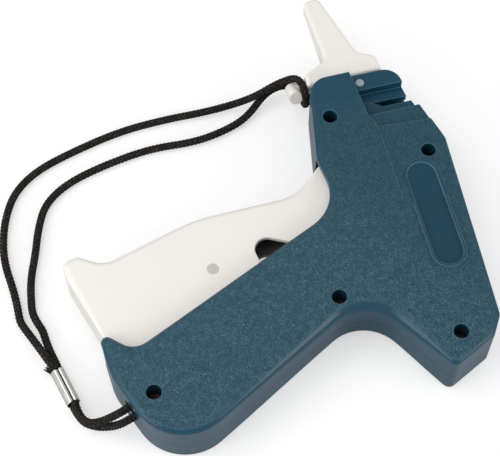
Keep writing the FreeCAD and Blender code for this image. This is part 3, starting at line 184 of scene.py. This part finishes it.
# Reach in metres, then how open the space over a spot is where the painted hollow shade begins and where it
# is dark.
TRIGGER_HOLLOW_SHADE = (0.02, 0.62, 0.38)
METAL_FOLD_SHADE = (0.0012, 0.80, 0.45)

# ---------------------------------------------------------------- the room
FLOOR_SIZE = 6.0
FLOOR_PLACE = (-0.05, 0.0, -0.0004)
FLOOR_PAINT = (0.56, 0.56, 0.56, 1.0)
FLOOR_GLOW = 0.50
MIRRORED_GLOW = 0.14
ROOM_LIGHT = 0.58
LAMP_AIM = Vector((-0.05, 0.0, 0.01))
# Name, place, size in metres and power in watts.
LAMPS = (
    ("top_light", (-0.50, 0.10, 0.87), 0.7, 2.9),
    ("right_light", (0.80, -0.64, 0.36), 0.5, 4.2),
    ("left_light", (-0.92, -0.28, 0.34), 0.5, 3.4),
)


def placed(name, data):
    """A new object in the scene that holds this data."""
    made = bpy.data.objects.new(name, data)
    bpy.context.scene.collection.objects.link(made)
    return made


def stand_camera():
    """A camera high above the tool and a little behind it, leaning toward where the needle points."""
    right = Vector((math.cos(TURN), -math.sin(TURN), 0.0))
    ahead = Vector((math.sin(TURN), math.cos(TURN), 0.0))
    looking = ahead * math.sin(CAMERA_TILT) - Vector((0, 0, math.cos(CAMERA_TILT)))
    up = ahead * math.cos(CAMERA_TILT) + Vector((0, 0, math.sin(CAMERA_TILT)))
    data = bpy.data.cameras.new("counter_camera")
    data.lens = LENS
    camera = placed("counter_camera", data)
    turn = Matrix((right, up, -looking)).transposed().to_4x4()
    camera.matrix_world = Matrix.Translation(LOOKED_AT - looking * CAMERA_DISTANCE) @ turn
    bpy.context.scene.camera = camera


# ---------------------------------------------------------------- cords
def route(name, points):
    """A smooth open line with the given control points."""
    curve = bpy.data.curves.new(name, "CURVE")
    curve.dimensions = "3D"
    curve.resolution_u = ROUTE_RESOLUTION
    spline = curve.splines.new("NURBS")
    spline.points.add(len(points) - 1)
    for spot, place in zip(spline.points, points):
        spot.co = (*place, 1.0)
    spline.order_u = 3
    spline.use_endpoint_u = True
    return placed(name, curve)


def line_points(line):
    """The points along a line that has no thickness, and the line is then removed."""
    bpy.context.view_layer.update()
    mesh = bpy.data.meshes.new_from_object(line)
    spots = np.array([vertex.co for vertex in mesh.vertices])
    bpy.data.meshes.remove(mesh)
    bpy.data.objects.remove(line)
    return spots


def even_points(spots, step):
    """The same line in equal steps, and how far along each point is."""
    steps = np.linalg.norm(np.diff(spots, axis=0), axis=1)
    along = np.concatenate([[0.0], np.cumsum(steps)])
    marks = np.linspace(0.0, along[-1], int(along[-1] / step) + 1)
    return np.column_stack([np.interp(marks, along, spots[:, i]) for i in range(3)]), marks


def carried_axes(spots):
    """The direction along a line and two directions across it that don't twist."""
    ahead = np.gradient(spots, axis=0)
    ahead /= np.linalg.norm(ahead, axis=1)[:, None]
    side = np.cross(ahead[0], (0.0, 0.0, 1.0))
    sides = []
    for direction in ahead:
        side = side - direction * (side @ direction)
        side = side / np.linalg.norm(side)
        sides.append(side)
    sides = np.array(sides)
    return ahead, sides, np.cross(ahead, sides)


def ring_faces(first, rings, count):
    """Faces of a tube whose rings follow each other, closed at both ends."""
    faces = []
    for ring in range(rings - 1):
        for i in range(count):
            j = (i + 1) % count
            low = first + ring * count
            faces.append((low + i, low + j, low + count + j, low + count + i))
    faces.append(tuple(first + i for i in reversed(range(count))))
    faces.append(tuple(first + (rings - 1) * count + i for i in range(count)))
    return faces


def braided_cord(name, points):
    """A cord of strands woven over and under each other round a core."""
    spots = line_points(route(name + "_line", points))
    fine, marks = even_points(spots, BRAID_STEP)
    ahead, sides, ups = carried_axes(fine)
    section = [math.radians(corner) for corner in STRAND_CORNERS]
    vertices = []
    faces = []
    for hand in (1, -1):
        for carrier in range(BRAID_CARRIERS):
            angle = 2 * math.pi * (carrier / BRAID_CARRIERS + hand * marks / BRAID_PITCH)
            outward = sides * np.cos(angle)[:, None] + ups * np.sin(angle)[:, None]
            lift = hand * BRAID_LIFT * np.cos(2 * math.pi * BRAID_CARRIERS * marks / BRAID_PITCH)
            middle = fine + outward * (BRAID_CENTRE + lift)[:, None]
            around = np.cross(ahead, outward) * (hand * 2 * math.pi * BRAID_CENTRE / BRAID_PITCH)
            along = ahead + around
            across = np.cross(outward, along / np.linalg.norm(along, axis=1)[:, None])
            rings = [middle + across * (STRAND_WIDTH * math.cos(a))
                     + outward * (STRAND_THICKNESS * math.sin(a)) for a in section]
            faces += ring_faces(len(vertices), len(fine), len(section))
            vertices += list(np.stack(rings, axis=1).reshape(-1, 3))
    coarse = even_points(spots, CORE_STEP)[0]
    sides, ups = carried_axes(coarse)[1:]
    turns = [2 * math.pi * i / CORE_SIDES for i in range(CORE_SIDES)]
    rings = [coarse + (sides * math.cos(a) + ups * math.sin(a)) * CORE_RADIUS for a in turns]
    faces += ring_faces(len(vertices), len(coarse), len(turns))
    vertices += list(np.stack(rings, axis=1).reshape(-1, 3))
    mesh = bpy.data.meshes.new(name)
    mesh.from_pydata([tuple(v) for v in vertices], [], faces)
    mesh.validate()
    cord = placed(name, mesh)
    select_only(cord)
    bpy.ops.object.mode_set(mode="EDIT")
    bpy.ops.mesh.select_all(action="SELECT")
    bpy.ops.mesh.normals_make_consistent(inside=False)
    bpy.ops.object.mode_set(mode="OBJECT")
    bpy.ops.object.shade_smooth()
    return cord, [tuple(spot) for spot in even_points(spots, PATH_STEP)[0]]


def wrist_strap():
    """The main loop hitched round the cap's peg, and the tail that goes into the handle's end wall."""
    loop, path = braided_cord("wrist_loop", OUTER_STRAND + HITCH + INNER_STRAND)
    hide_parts("strap_cord", "strap_hitch")
    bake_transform(loop)
    tail, path = braided_cord("wrist_tail", TAIL_LOOP)
    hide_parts("strap_tail")
    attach(tail, "housing")
    return [loop, tail]


# ---------------------------------------------------------------- modelling helpers
def select_only(thing):
    """Make this object the whole selection, in object mode."""
    if bpy.context.mode != "OBJECT":
        bpy.ops.object.mode_set(mode="OBJECT")
    bpy.ops.object.select_all(action="DESELECT")
    thing.select_set(True)
    bpy.context.view_layer.objects.active = thing


def settle(thing):
    """Put the place of a finished piece into its mesh."""
    select_only(thing)
    bpy.ops.object.transform_apply(location=True, rotation=True, scale=True)


def add_modifier(thing, kind, **values):
    """Add one modifier and apply it."""
    made = thing.modifiers.new(kind.lower(), kind)
    for name, value in values.items():
        setattr(made, name, value)
    select_only(thing)
    bpy.ops.object.modifier_apply(modifier=made.name)


def select_points(thing, wanted):
    """Select the vertices that a test picks by their place, and stay in edit mode."""
    select_only(thing)
    bpy.ops.object.mode_set(mode="EDIT")
    bpy.ops.mesh.select_mode(type="VERT")
    bpy.ops.mesh.select_all(action="DESELECT")
    bpy.ops.object.mode_set(mode="OBJECT")
    for vertex in thing.data.vertices:
        vertex.select = wanted(vertex.co)
    bpy.ops.object.mode_set(mode="EDIT")


# ---------------------------------------------------------------- ferrule
def crimped_ferrule():
    """A sleeve rolled round the strands, its wall pressed in along a seam on top."""
    bpy.ops.object.select_all(action="DESELECT")
    bpy.ops.mesh.primitive_circle_add(vertices=FERRULE_CORNERS, radius=FERRULE_RADIUS, fill_type="NOTHING")
    sleeve = bpy.context.object
    sleeve.name = "crimped_ferrule"
    sleeve.data.name = "crimped_ferrule"
    select_points(sleeve, lambda co: True)
    bpy.ops.transform.resize(value=(1.0, FERRULE_TALLER, 1.0))
    select_points(sleeve, lambda co: co.y > 0 and abs(co.x - SEAM_ASIDE) < SEAM_WIDTH)
    bpy.ops.transform.translate(value=(0.0, -SEAM_DEPTH, 0.0), use_proportional_edit=True,
                                proportional_edit_falloff="SHARP", proportional_size=SEAM_REACH)
    bpy.ops.mesh.select_all(action="SELECT")
    for step in FERRULE_STEPS:
        bpy.ops.mesh.extrude_region_move(TRANSFORM_OT_translate={"value": (0.0, 0.0, step * MM)})
    bpy.ops.object.mode_set(mode="OBJECT")
    add_modifier(sleeve, "SOLIDIFY", thickness=FERRULE_WALL, offset=-1.0)
    add_modifier(sleeve, "BEVEL", width=FERRULE_LIP, segments=2, limit_method="ANGLE",
                 angle_limit=math.radians(50))
    bpy.ops.object.shade_smooth_by_angle(angle=math.radians(40))
    along = Vector((math.cos(FERRULE_HEADING), math.sin(FERRULE_HEADING), 0.0))
    up = Vector((0.0, 0.0, 1.0))
    across = up.cross(along)
    half = FERRULE_LENGTH / 2
    start = FERRULE_CENTRE - along * half + up * FERRULE_LEVEL
    sleeve.matrix_world = Matrix.Translation(start) @ Matrix((across, up, along)).transposed().to_4x4()
    settle(sleeve)
    return sleeve


def cut_ends():
    """The loop's two cut ends, frayed where they leave the sleeve."""
    rng = np.random.default_rng(FRAY_SEED)
    along = np.array((math.cos(FERRULE_HEADING), math.sin(FERRULE_HEADING), 0.0))
    across = np.array((along[1], -along[0], 0.0))
    mouth = np.array(FERRULE_CENTRE) - along * (FERRULE_LENGTH / 2)
    curve = bpy.data.curves.new("cut_ends", "CURVE")
    curve.dimensions = "3D"
    curve.bevel_depth = FILAMENT_RADIUS
    curve.bevel_resolution = 1
    for _filament in range(FILAMENTS):
        root = across * rng.uniform(*ROOT_ASIDE) * MM
        start = mouth + root + np.array((0, 0, rng.uniform(*ROOT_HEIGHT) * MM))
        lean = across * rng.uniform(*LEAN_ASIDE) - along * rng.uniform(*LEAN_BACK)
        lean = lean + np.array((0, 0, rng.uniform(*LEAN_UP)))
        spline = curve.splines.new("POLY")
        spline.points.add(FILAMENT_STEPS)
        for step, spot in enumerate(spline.points):
            share = step / FILAMENT_STEPS
            place = start + along * MM * (1 - share) + lean * MM * share ** LEAN_BEND * LEAN_TIMES
            spot.co = (*place, 1.0)
            spot.radius = 1.0 - TIP_THINNING * share
    stub = placed("cut_ends", curve)
    select_only(stub)
    bpy.ops.object.convert(target="MESH")
    return bpy.context.object


# ---------------------------------------------------------------- material helpers
def node(tree, kind, inputs=None, **settings):
    """One shader node, with its inputs set to values or linked to sockets."""
    made = tree.nodes.new(kind)
    for name, value in settings.items():
        setattr(made, name, value)
    for key, value in (inputs or {}).items():
        if isinstance(value, bpy.types.NodeSocket):
            tree.links.new(value, made.inputs[key])
        else:
            made.inputs[key].default_value = value
    return made


def maths(tree, operation, *values):
    """The result of one sum on values or sockets."""
    return node(tree, "ShaderNodeMath", dict(enumerate(values)), operation=operation).outputs[0]


def times(tree, first, second):
    """Two values or sockets multiplied."""
    return maths(tree, "MULTIPLY", first, second)


def stretched(tree, value, low, high, to_low=0.0, to_high=1.0):
    """A value moved from one range to another, smoothly and within its ends."""
    made = node(tree, "ShaderNodeMapRange", {"Value": value, "From Min": low, "From Max": high,
                                             "To Min": to_low, "To Max": to_high},
                interpolation_type="SMOOTHSTEP")
    return made.outputs["Result"]


def mixed(tree, share, first, second):
    """The first colour, and this share of the second one over it."""
    return node(tree, "ShaderNodeMix", {0: share, 6: first, 7: second}, data_type="RGBA").outputs[2]


def new_group(name, inputs, outputs):
    """An empty group with named inputs and outputs, each with its kind and first value."""
    tree = bpy.data.node_groups.new(name, "ShaderNodeTree")
    for label, kind, value in inputs:
        socket = tree.interface.new_socket(label, in_out="INPUT", socket_type=kind)
        socket.default_value = value
    for label, kind in outputs:
        tree.interface.new_socket(label, in_out="OUTPUT", socket_type=kind)
    return tree, tree.nodes.new("NodeGroupInput"), tree.nodes.new("NodeGroupOutput")


def use(tree, group, inputs):
    """Place a group in a material with its own values."""
    return node(tree, "ShaderNodeGroup", inputs, node_tree=group)


def grain_group():
    """A moulded leather-like grain: small bumps, and short flecks along the middle of its fine noise, where
    glints are painted.
    """
    tree, given, result = new_group("moulded_grain", [("Size", "NodeSocketFloat", 0.0007)],
                                    [("Height", "NodeSocketFloat"), ("Glint", "NodeSocketFloat")])
    place = node(tree, "ShaderNodeTexCoord").outputs["Object"]
    scale = maths(tree, "DIVIDE", 1.0, given.outputs["Size"])
    wander = node(tree, "ShaderNodeTexNoise", {"Vector": place, "Scale": times(tree, scale, WANDER_SCALE),
                                               "Detail": 2.0})
    shift = node(tree, "ShaderNodeVectorMath", {0: wander.outputs["Color"], 1: (0.5, 0.5, 0.5)},
                 operation="SUBTRACT")
    amount = node(tree, "ShaderNodeVectorMath", {0: shift.outputs[0], 3: given.outputs["Size"]},
                  operation="SCALE")
    moved = node(tree, "ShaderNodeVectorMath", {0: place, 1: amount.outputs[0]}, operation="ADD").outputs[0]
    cells = node(tree, "ShaderNodeTexVoronoi", {"Vector": moved, "Scale": scale}, feature="F1")
    fine = node(tree, "ShaderNodeTexNoise", {"Vector": moved, "Scale": times(tree, scale, FINE_SCALE),
                                             "Detail": 3.0, "Roughness": 0.6, "Distortion": 0.8})
    ridge = maths(tree, "ABSOLUTE", maths(tree, "SUBTRACT", fine.outputs["Fac"], 0.5))
    spread = node(tree, "ShaderNodeTexNoise", {"Vector": place, "Scale": times(tree, scale, SPREAD_SCALE),
                                               "Detail": 2.0})
    dome = maths(tree, "SUBTRACT", 1.0, cells.outputs["Distance"])
    height = maths(tree, "ADD", times(tree, dome, DOME_SHARE), times(tree, fine.outputs["Fac"], FINE_SHARE))
    fleck = times(tree, stretched(tree, ridge, *GLINT_LINE),
                  stretched(tree, spread.outputs["Fac"], *GLINT_SPREAD, 0.5, 1.0))
    tree.links.new(height, result.inputs["Height"])
    tree.links.new(fleck, result.inputs["Glint"])
    return tree


def edge_group():
    """Where an edge turns: a mask of the edges for painted highlights, and the normal that rounds them."""
    tree, given, result = new_group("edge_highlight_and_rounding", [("Width", "NodeSocketFloat", 0.0004)],
                                    [("Edge", "NodeSocketFloat"), ("Normal", "NodeSocketVector")])
    round_ = node(tree, "ShaderNodeBevel", {"Radius": given.outputs["Width"]}, samples=SHADING_SAMPLES)
    facing = node(tree, "ShaderNodeNewGeometry").outputs["Normal"]
    agree = node(tree, "ShaderNodeVectorMath", {0: round_.outputs[0], 1: facing}, operation="DOT_PRODUCT")
    tree.links.new(stretched(tree, agree.outputs["Value"], *EDGE_TURN), result.inputs["Edge"])
    tree.links.new(round_.outputs[0], result.inputs["Normal"])
    return tree


def mottle_group():
    """Slow unevenness of a moulded or handled surface, and fine specks."""
    tree, given, result = new_group("handled_surface", [("Size", "NodeSocketFloat", 0.02)],
                                    [("Cloud", "NodeSocketFloat"), ("Speck", "NodeSocketFloat")])
    place = node(tree, "ShaderNodeTexCoord").outputs["Object"]
    scale = maths(tree, "DIVIDE", 1.0, given.outputs["Size"])
    cloud = node(tree, "ShaderNodeTexNoise", {"Vector": place, "Scale": scale, "Detail": 4.0,
                                              "Roughness": 0.55})
    speck = node(tree, "ShaderNodeTexNoise", {"Vector": place, "Scale": times(tree, scale, SPECK_SCALE),
                                              "Detail": 2.0})
    tree.links.new(stretched(tree, cloud.outputs["Fac"], *CLOUD_RANGE), result.inputs["Cloud"])
    tree.links.new(stretched(tree, speck.outputs["Fac"], *SPECK_RANGE), result.inputs["Speck"])
    return tree


def empty_material(name):
    """A material with nothing in it but its output."""
    material = bpy.data.materials.new(name)
    material.use_nodes = True
    tree = material.node_tree
    tree.nodes.clear()
    return material, tree, tree.nodes.new("ShaderNodeOutputMaterial")


def new_material(name, roughness, metallic=0.0, specular=0.5):
    """A material with its shader and output in place."""
    material, tree, output = empty_material(name)
    shader = node(tree, "ShaderNodeBsdfPrincipled", {"Roughness": roughness, "Metallic": metallic,
                                                     "Specular IOR Level": specular})
    tree.links.new(shader.outputs[0], output.inputs["Surface"])
    return material, tree, shader


def bump(tree, height, distance, normal=None):
    """The normal of a surface raised by a height, on top of another normal where one is given."""
    inputs = {"Height": height, "Distance": distance}
    if normal is not None:
        inputs["Normal"] = normal
    return node(tree, "ShaderNodeBump", inputs).outputs["Normal"]


def shade(colour, factor):
    """An opaque colour, this much lighter or darker."""
    return tuple(min(1.0, part * factor) for part in colour) + (1.0,)


def painted_hollow_shade(tree, reach, clear, shut):
    """How far a spot lies inside a hollow of its own piece, by how open the space over it is, for painting
    shade there.
    """
    opening = node(tree, "ShaderNodeAmbientOcclusion", {"Distance": reach}, only_local=True,
                   samples=SHADING_SAMPLES)
    return stretched(tree, opening.outputs["AO"], clear, shut)


def moulded(name, colour, roughness, edge_highlight_times=1.25, cloud_times=0.96, specular=0.5, hollow=None):
    """A smooth moulded plastic with slow mottling and painted highlights on its edges, and painted shade of
    another colour deep in its hollows.
    """
    material, tree, shader = new_material(name, roughness, specular=specular)
    surface = use(tree, MOTTLE, {"Size": 0.015})
    edge = use(tree, EDGE, {"Width": MOULDED_EDGE})
    base = mixed(tree, surface.outputs["Cloud"], shade(colour, 1.0), shade(colour, cloud_times))
    # painted highlight: the colour lightened along the edges
    base = mixed(tree, times(tree, edge.outputs["Edge"], 0.6), base, shade(colour, edge_highlight_times))
    if hollow is not None:
        # painted shade: a darker colour deep in the piece's own hollows
        base = mixed(tree, painted_hollow_shade(tree, *TRIGGER_HOLLOW_SHADE), base, hollow)
    tree.links.new(base, shader.inputs["Base Color"])
    tree.links.new(stretched(tree, surface.outputs["Cloud"], 0.0, 1.0, roughness - 0.04, roughness + 0.05),
                   shader.inputs["Roughness"])
    tree.links.new(bump(tree, surface.outputs["Cloud"], 0.03 * MM, edge.outputs["Normal"]),
                   shader.inputs["Normal"])
    return material


def near_panel(tree, place):
    """How far a point is from the middle line of the raised grip panel."""
    middle = maths(tree, "MAXIMUM", place.outputs["Y"], PANEL_REAR_Y)
    middle = maths(tree, "MINIMUM", middle, PANEL_FRONT_Y)
    ahead = maths(tree, "SUBTRACT", place.outputs["Y"], middle)
    aside = maths(tree, "SUBTRACT", place.outputs["X"], PANEL_X)
    return maths(tree, "SQRT", maths(tree, "ADD", times(tree, aside, aside), times(tree, ahead, ahead)))


def housing_plastic():
    """Dark teal plastic with smooth walls and panel, its grain fading over soft edges and the nose."""
    material, tree, shader = new_material("teal_plastic", SMOOTH_ROUGHNESS, specular=0.32)
    grain = use(tree, GRAIN, {"Size": GRAIN_SIZE})
    surface = use(tree, MOTTLE, {"Size": 0.012})
    edge = use(tree, EDGE, {"Width": 0.4 * MM})
    coordinates = node(tree, "ShaderNodeTexCoord")
    place = node(tree, "ShaderNodeSeparateXYZ", {0: coordinates.outputs["Object"]})
    facing = node(tree, "ShaderNodeSeparateXYZ", {0: coordinates.outputs["Normal"]})
    upright = maths(tree, "ABSOLUTE", facing.outputs["Z"])
    level = maths(tree, "ABSOLUTE", maths(tree, "SUBTRACT", place.outputs["Z"], MID_LEVEL))
    apart = near_panel(tree, place)

    # where the grain and its flecks are
    flat = stretched(tree, upright, *FLAT_FACE)
    outside = stretched(tree, level, *OUTER_FACE)
    nose = stretched(tree, place.outputs["Y"], *BEHIND_NOSE, GRAIN_AT_NOSE, 1.0)
    clear = stretched(tree, apart, *BESIDE_PANEL)
    grained = times(tree, times(tree, flat, outside), times(tree, nose, clear))
    # the painted glints are strongest towards the handle end, where the light falls on the grain
    diagonal = maths(tree, "ADD", place.outputs["X"], place.outputs["Y"])
    deep = stretched(tree, diagonal, *GLINT_FALLOFF, GLINTS_AT_CORNER, 1.0)

    # colour: mottling, painted shade in the low grain, the panel's field, painted glints on the flecks,
    # painted edge highlights and the parting line
    base = mixed(tree, surface.outputs["Cloud"], shade(TEAL, 1.0), shade(TEAL, MOTTLED_SHADE))
    # painted shade: the grain's low parts darkened
    valley_shade = times(tree, stretched(tree, grain.outputs["Height"], *LOW_GRAIN), grained)
    base = mixed(tree, times(tree, valley_shade, LOW_GRAIN_SHARE), base, shade(TEAL, LOW_GRAIN_SHADE))
    inner = times(tree, stretched(tree, apart, *PANEL_FIELD), stretched(tree, level, *PANEL_LEVEL))
    base = mixed(tree, times(tree, inner, flat), base, shade(TEAL, PANEL_SHADE))
    # painted glints: lighter flecks standing in for the lamps' glints on the grain
    light = times(tree, times(tree, grain.outputs["Glint"], grained), deep)
    base = mixed(tree, light, base, PAINTED_GLINT_COLOUR)
    # painted highlight: a lighter teal along every turning edge
    base = mixed(tree, times(tree, edge.outputs["Edge"], EDGE_HIGHLIGHT_SHARE), base, EDGE_HIGHLIGHT_COLOUR)
    seam = times(tree, stretched(tree, level, *PARTING_LINE), stretched(tree, upright, *SIDE_FACE))
    base = mixed(tree, seam, base, PARTING_COLOUR)
    tree.links.new(base, shader.inputs["Base Color"])

    roughness = stretched(tree, grained, 0.0, 1.0, SMOOTH_ROUGHNESS, GRAINED_ROUGHNESS)
    tree.links.new(roughness, shader.inputs["Roughness"])
    height = times(tree, grain.outputs["Height"], grained)
    tree.links.new(bump(tree, height, GRAIN_HEIGHT, edge.outputs["Normal"]), shader.inputs["Normal"])
    return material


def drawn_metal(name, colour, roughness, turn=0.0, hollow=None):
    """Bright metal with fine drawing lines and a little tarnish, and painted shade of another colour deep
    in its folds.
    """
    material, tree, shader = new_material(name, roughness, metallic=1.0)
    place = node(tree, "ShaderNodeTexCoord").outputs["Object"]
    lines = node(tree, "ShaderNodeMapping", {"Vector": place, "Rotation": (0.0, 0.0, turn),
                                             "Scale": STREAK_STRETCH}, vector_type="TEXTURE")
    streak = node(tree, "ShaderNodeTexNoise", {"Vector": lines.outputs[0], "Scale": STREAK_SCALE,
                                               "Detail": 2.0})
    surface = use(tree, MOTTLE, {"Size": 0.004})
    edge = use(tree, EDGE, {"Width": 0.15 * MM})
    base = mixed(tree, surface.outputs["Cloud"], shade(colour, 1.0), shade(colour, 0.85))
    base = mixed(tree, stretched(tree, streak.outputs["Fac"], 0.55, 0.75), base, shade(colour, 0.7))
    if hollow is not None:
        # painted shade: a darker colour deep in the metal's own folds
        base = mixed(tree, painted_hollow_shade(tree, *METAL_FOLD_SHADE), base, hollow)
    tree.links.new(base, shader.inputs["Base Color"])
    tree.links.new(stretched(tree, streak.outputs["Fac"], 0.2, 0.8, roughness - 0.06, roughness + 0.10),
                   shader.inputs["Roughness"])
    tree.links.new(bump(tree, streak.outputs["Fac"], 0.01 * MM, edge.outputs["Normal"]),
                   shader.inputs["Normal"])
    return material


def braided_black():
    """Black yarn with brownish worn filaments on it and a few lighter specks."""
    black = (0.0062, 0.0055, 0.0050)
    brown = (0.046, 0.040, 0.034)
    material, tree, shader = new_material("black_yarn", 0.8, specular=0.22)
    place = node(tree, "ShaderNodeTexCoord").outputs["Object"]
    filament = node(tree, "ShaderNodeTexNoise", {"Vector": place, "Scale": FILAMENT_SCALE, "Detail": 3.0,
                                                 "Roughness": 0.7})
    surface = use(tree, MOTTLE, {"Size": 0.012})
    worn = stretched(tree, filament.outputs["Fac"], 0.50, 0.62)
    base = mixed(tree, worn, shade(black, 1.0), shade(brown, 1.0))
    base = mixed(tree, times(tree, surface.outputs["Speck"], 0.45), base, shade(brown, 2.4))
    tree.links.new(base, shader.inputs["Base Color"])
    tree.links.new(bump(tree, filament.outputs["Fac"], 0.10 * MM), shader.inputs["Normal"])
    shader.inputs["Sheen Weight"].default_value = 0.04
    shader.inputs["Sheen Roughness"].default_value = 0.4
    return material


# ---------------------------------------------------------------- light and counter
def counter():
    """A plain pale floor that keeps a soft shadow, an even room and three soft lamps."""
    bpy.ops.object.select_all(action="DESELECT")
    bpy.ops.mesh.primitive_plane_add(size=FLOOR_SIZE, location=FLOOR_PLACE)
    floor = bpy.context.object
    floor.name = "counter_top"
    material, tree, output = empty_material("pale_counter")
    paint = node(tree, "ShaderNodeBsdfDiffuse", {"Color": FLOOR_PAINT})
    path = node(tree, "ShaderNodeLightPath")
    mirrored = maths(tree, "MAXIMUM", path.outputs["Is Glossy Ray"], path.outputs["Is Transmission Ray"])
    seen = maths(tree, "ADD", times(tree, path.outputs["Is Camera Ray"], FLOOR_GLOW),
                 times(tree, mirrored, MIRRORED_GLOW))
    glow = node(tree, "ShaderNodeEmission", {"Strength": seen})
    both = node(tree, "ShaderNodeAddShader", {0: paint.outputs[0], 1: glow.outputs[0]})
    tree.links.new(both.outputs[0], output.inputs["Surface"])
    floor.data.materials.append(material)

    world = bpy.data.worlds.new("soft_room")
    bpy.context.scene.world = world
    world.use_nodes = True
    sky = world.node_tree.nodes["Background"]
    sky.inputs["Color"].default_value = (1.0, 1.0, 1.0, 1.0)
    sky.inputs["Strength"].default_value = ROOM_LIGHT
    for lamp in LAMPS:
        soft_lamp(*lamp)


def soft_lamp(name, place, size, power):
    """A square lamp that looks at the tool."""
    data = bpy.data.lights.new(name, "AREA")
    data.size = size
    data.energy = power
    lamp = placed(name, data)
    lamp.location = place
    lamp.rotation_mode = "QUATERNION"
    lamp.rotation_quaternion = (LAMP_AIM - lamp.location).to_track_quat("-Z", "Y")


def dress(thing, material):
    """Give a piece one material all over."""
    thing.data.materials.clear()
    thing.data.materials.append(material)


# ---------------------------------------------------------------- making
stand_camera()
ferrule = crimped_ferrule()
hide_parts("strap_ferrule")
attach(ferrule, "housing")
ends = cut_ends()
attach(ends, "housing")
cords = wrist_strap()

GRAIN = grain_group()
EDGE = edge_group()
MOTTLE = mottle_group()
teal = housing_plastic()
steel = drawn_metal("drawn_steel", (0.56, 0.56, 0.57), 0.32)
dark_steel = drawn_metal("plated_screw", (0.09, 0.05, 0.05), 0.38)
# painted shade in the sleeve's pressed seam and folds
aluminium = drawn_metal("rolled_aluminium", (0.76, 0.745, 0.72), 0.24, turn=FERRULE_HEADING,
                        hollow=(0.05, 0.045, 0.04, 1.0))
yarn = braided_black()
# painted shade: near black inside the trigger's hollow
white = moulded("trigger_white", (0.872, 0.835, 0.795), 0.36, edge_highlight_times=1.02, cloud_times=0.98,
                hollow=(0.012, 0.010, 0.008, 1.0))
cap_white = moulded("cap_white", (0.905, 0.872, 0.825), 0.38, edge_highlight_times=1.02, cloud_times=0.98)
works_white = moulded("works_plastic", (0.52, 0.52, 0.50), 0.5)
# painted shade: the drive lever and slide block made near black for the shade inside the closed housing
works_in_painted_shade = moulded("works_plastic_painted_shade", (0.0055, 0.0045, 0.004), 0.5, specular=0.08)
pin_grey = moulded("lock_pin_grey", (0.38, 0.40, 0.46), 0.45)
insert_grey = moulded("insert_grey", (0.57, 0.55, 0.525), 0.5)

FINISHES = {
    teal: ("left_housing", "right_housing"),
    dark_steel: ("housing_screws",),
    steel: ("trigger_pivot_pin", "drive_lever_pin", "slide_rail", "needle", "knife_blade",
            "index_leaf_spring", "return_spring", "drive_pin", "push_rod", "feed_wheel_shaft"),
    white: ("trigger",),
    insert_grey: ("trigger_insert",),
    works_in_painted_shade: ("drive_lever", "slide_block"),
    works_white: ("feed_wheel", "needle_holder", "needle_lock_lever"),
    pin_grey: ("needle_lock_pin",),
    cap_white: ("needle_cap",),
    yarn: ("strap_cord", "strap_hitch", "strap_tail"),
    aluminium: ("strap_ferrule",),
}
for material, names in FINISHES.items():
    for name in names:
        dress(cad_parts[name], material)
for cord in cords + [ends]:
    dress(cord, yarn)
dress(ferrule, aluminium)

counter()
bpy.context.scene.view_settings.view_transform = "Standard"
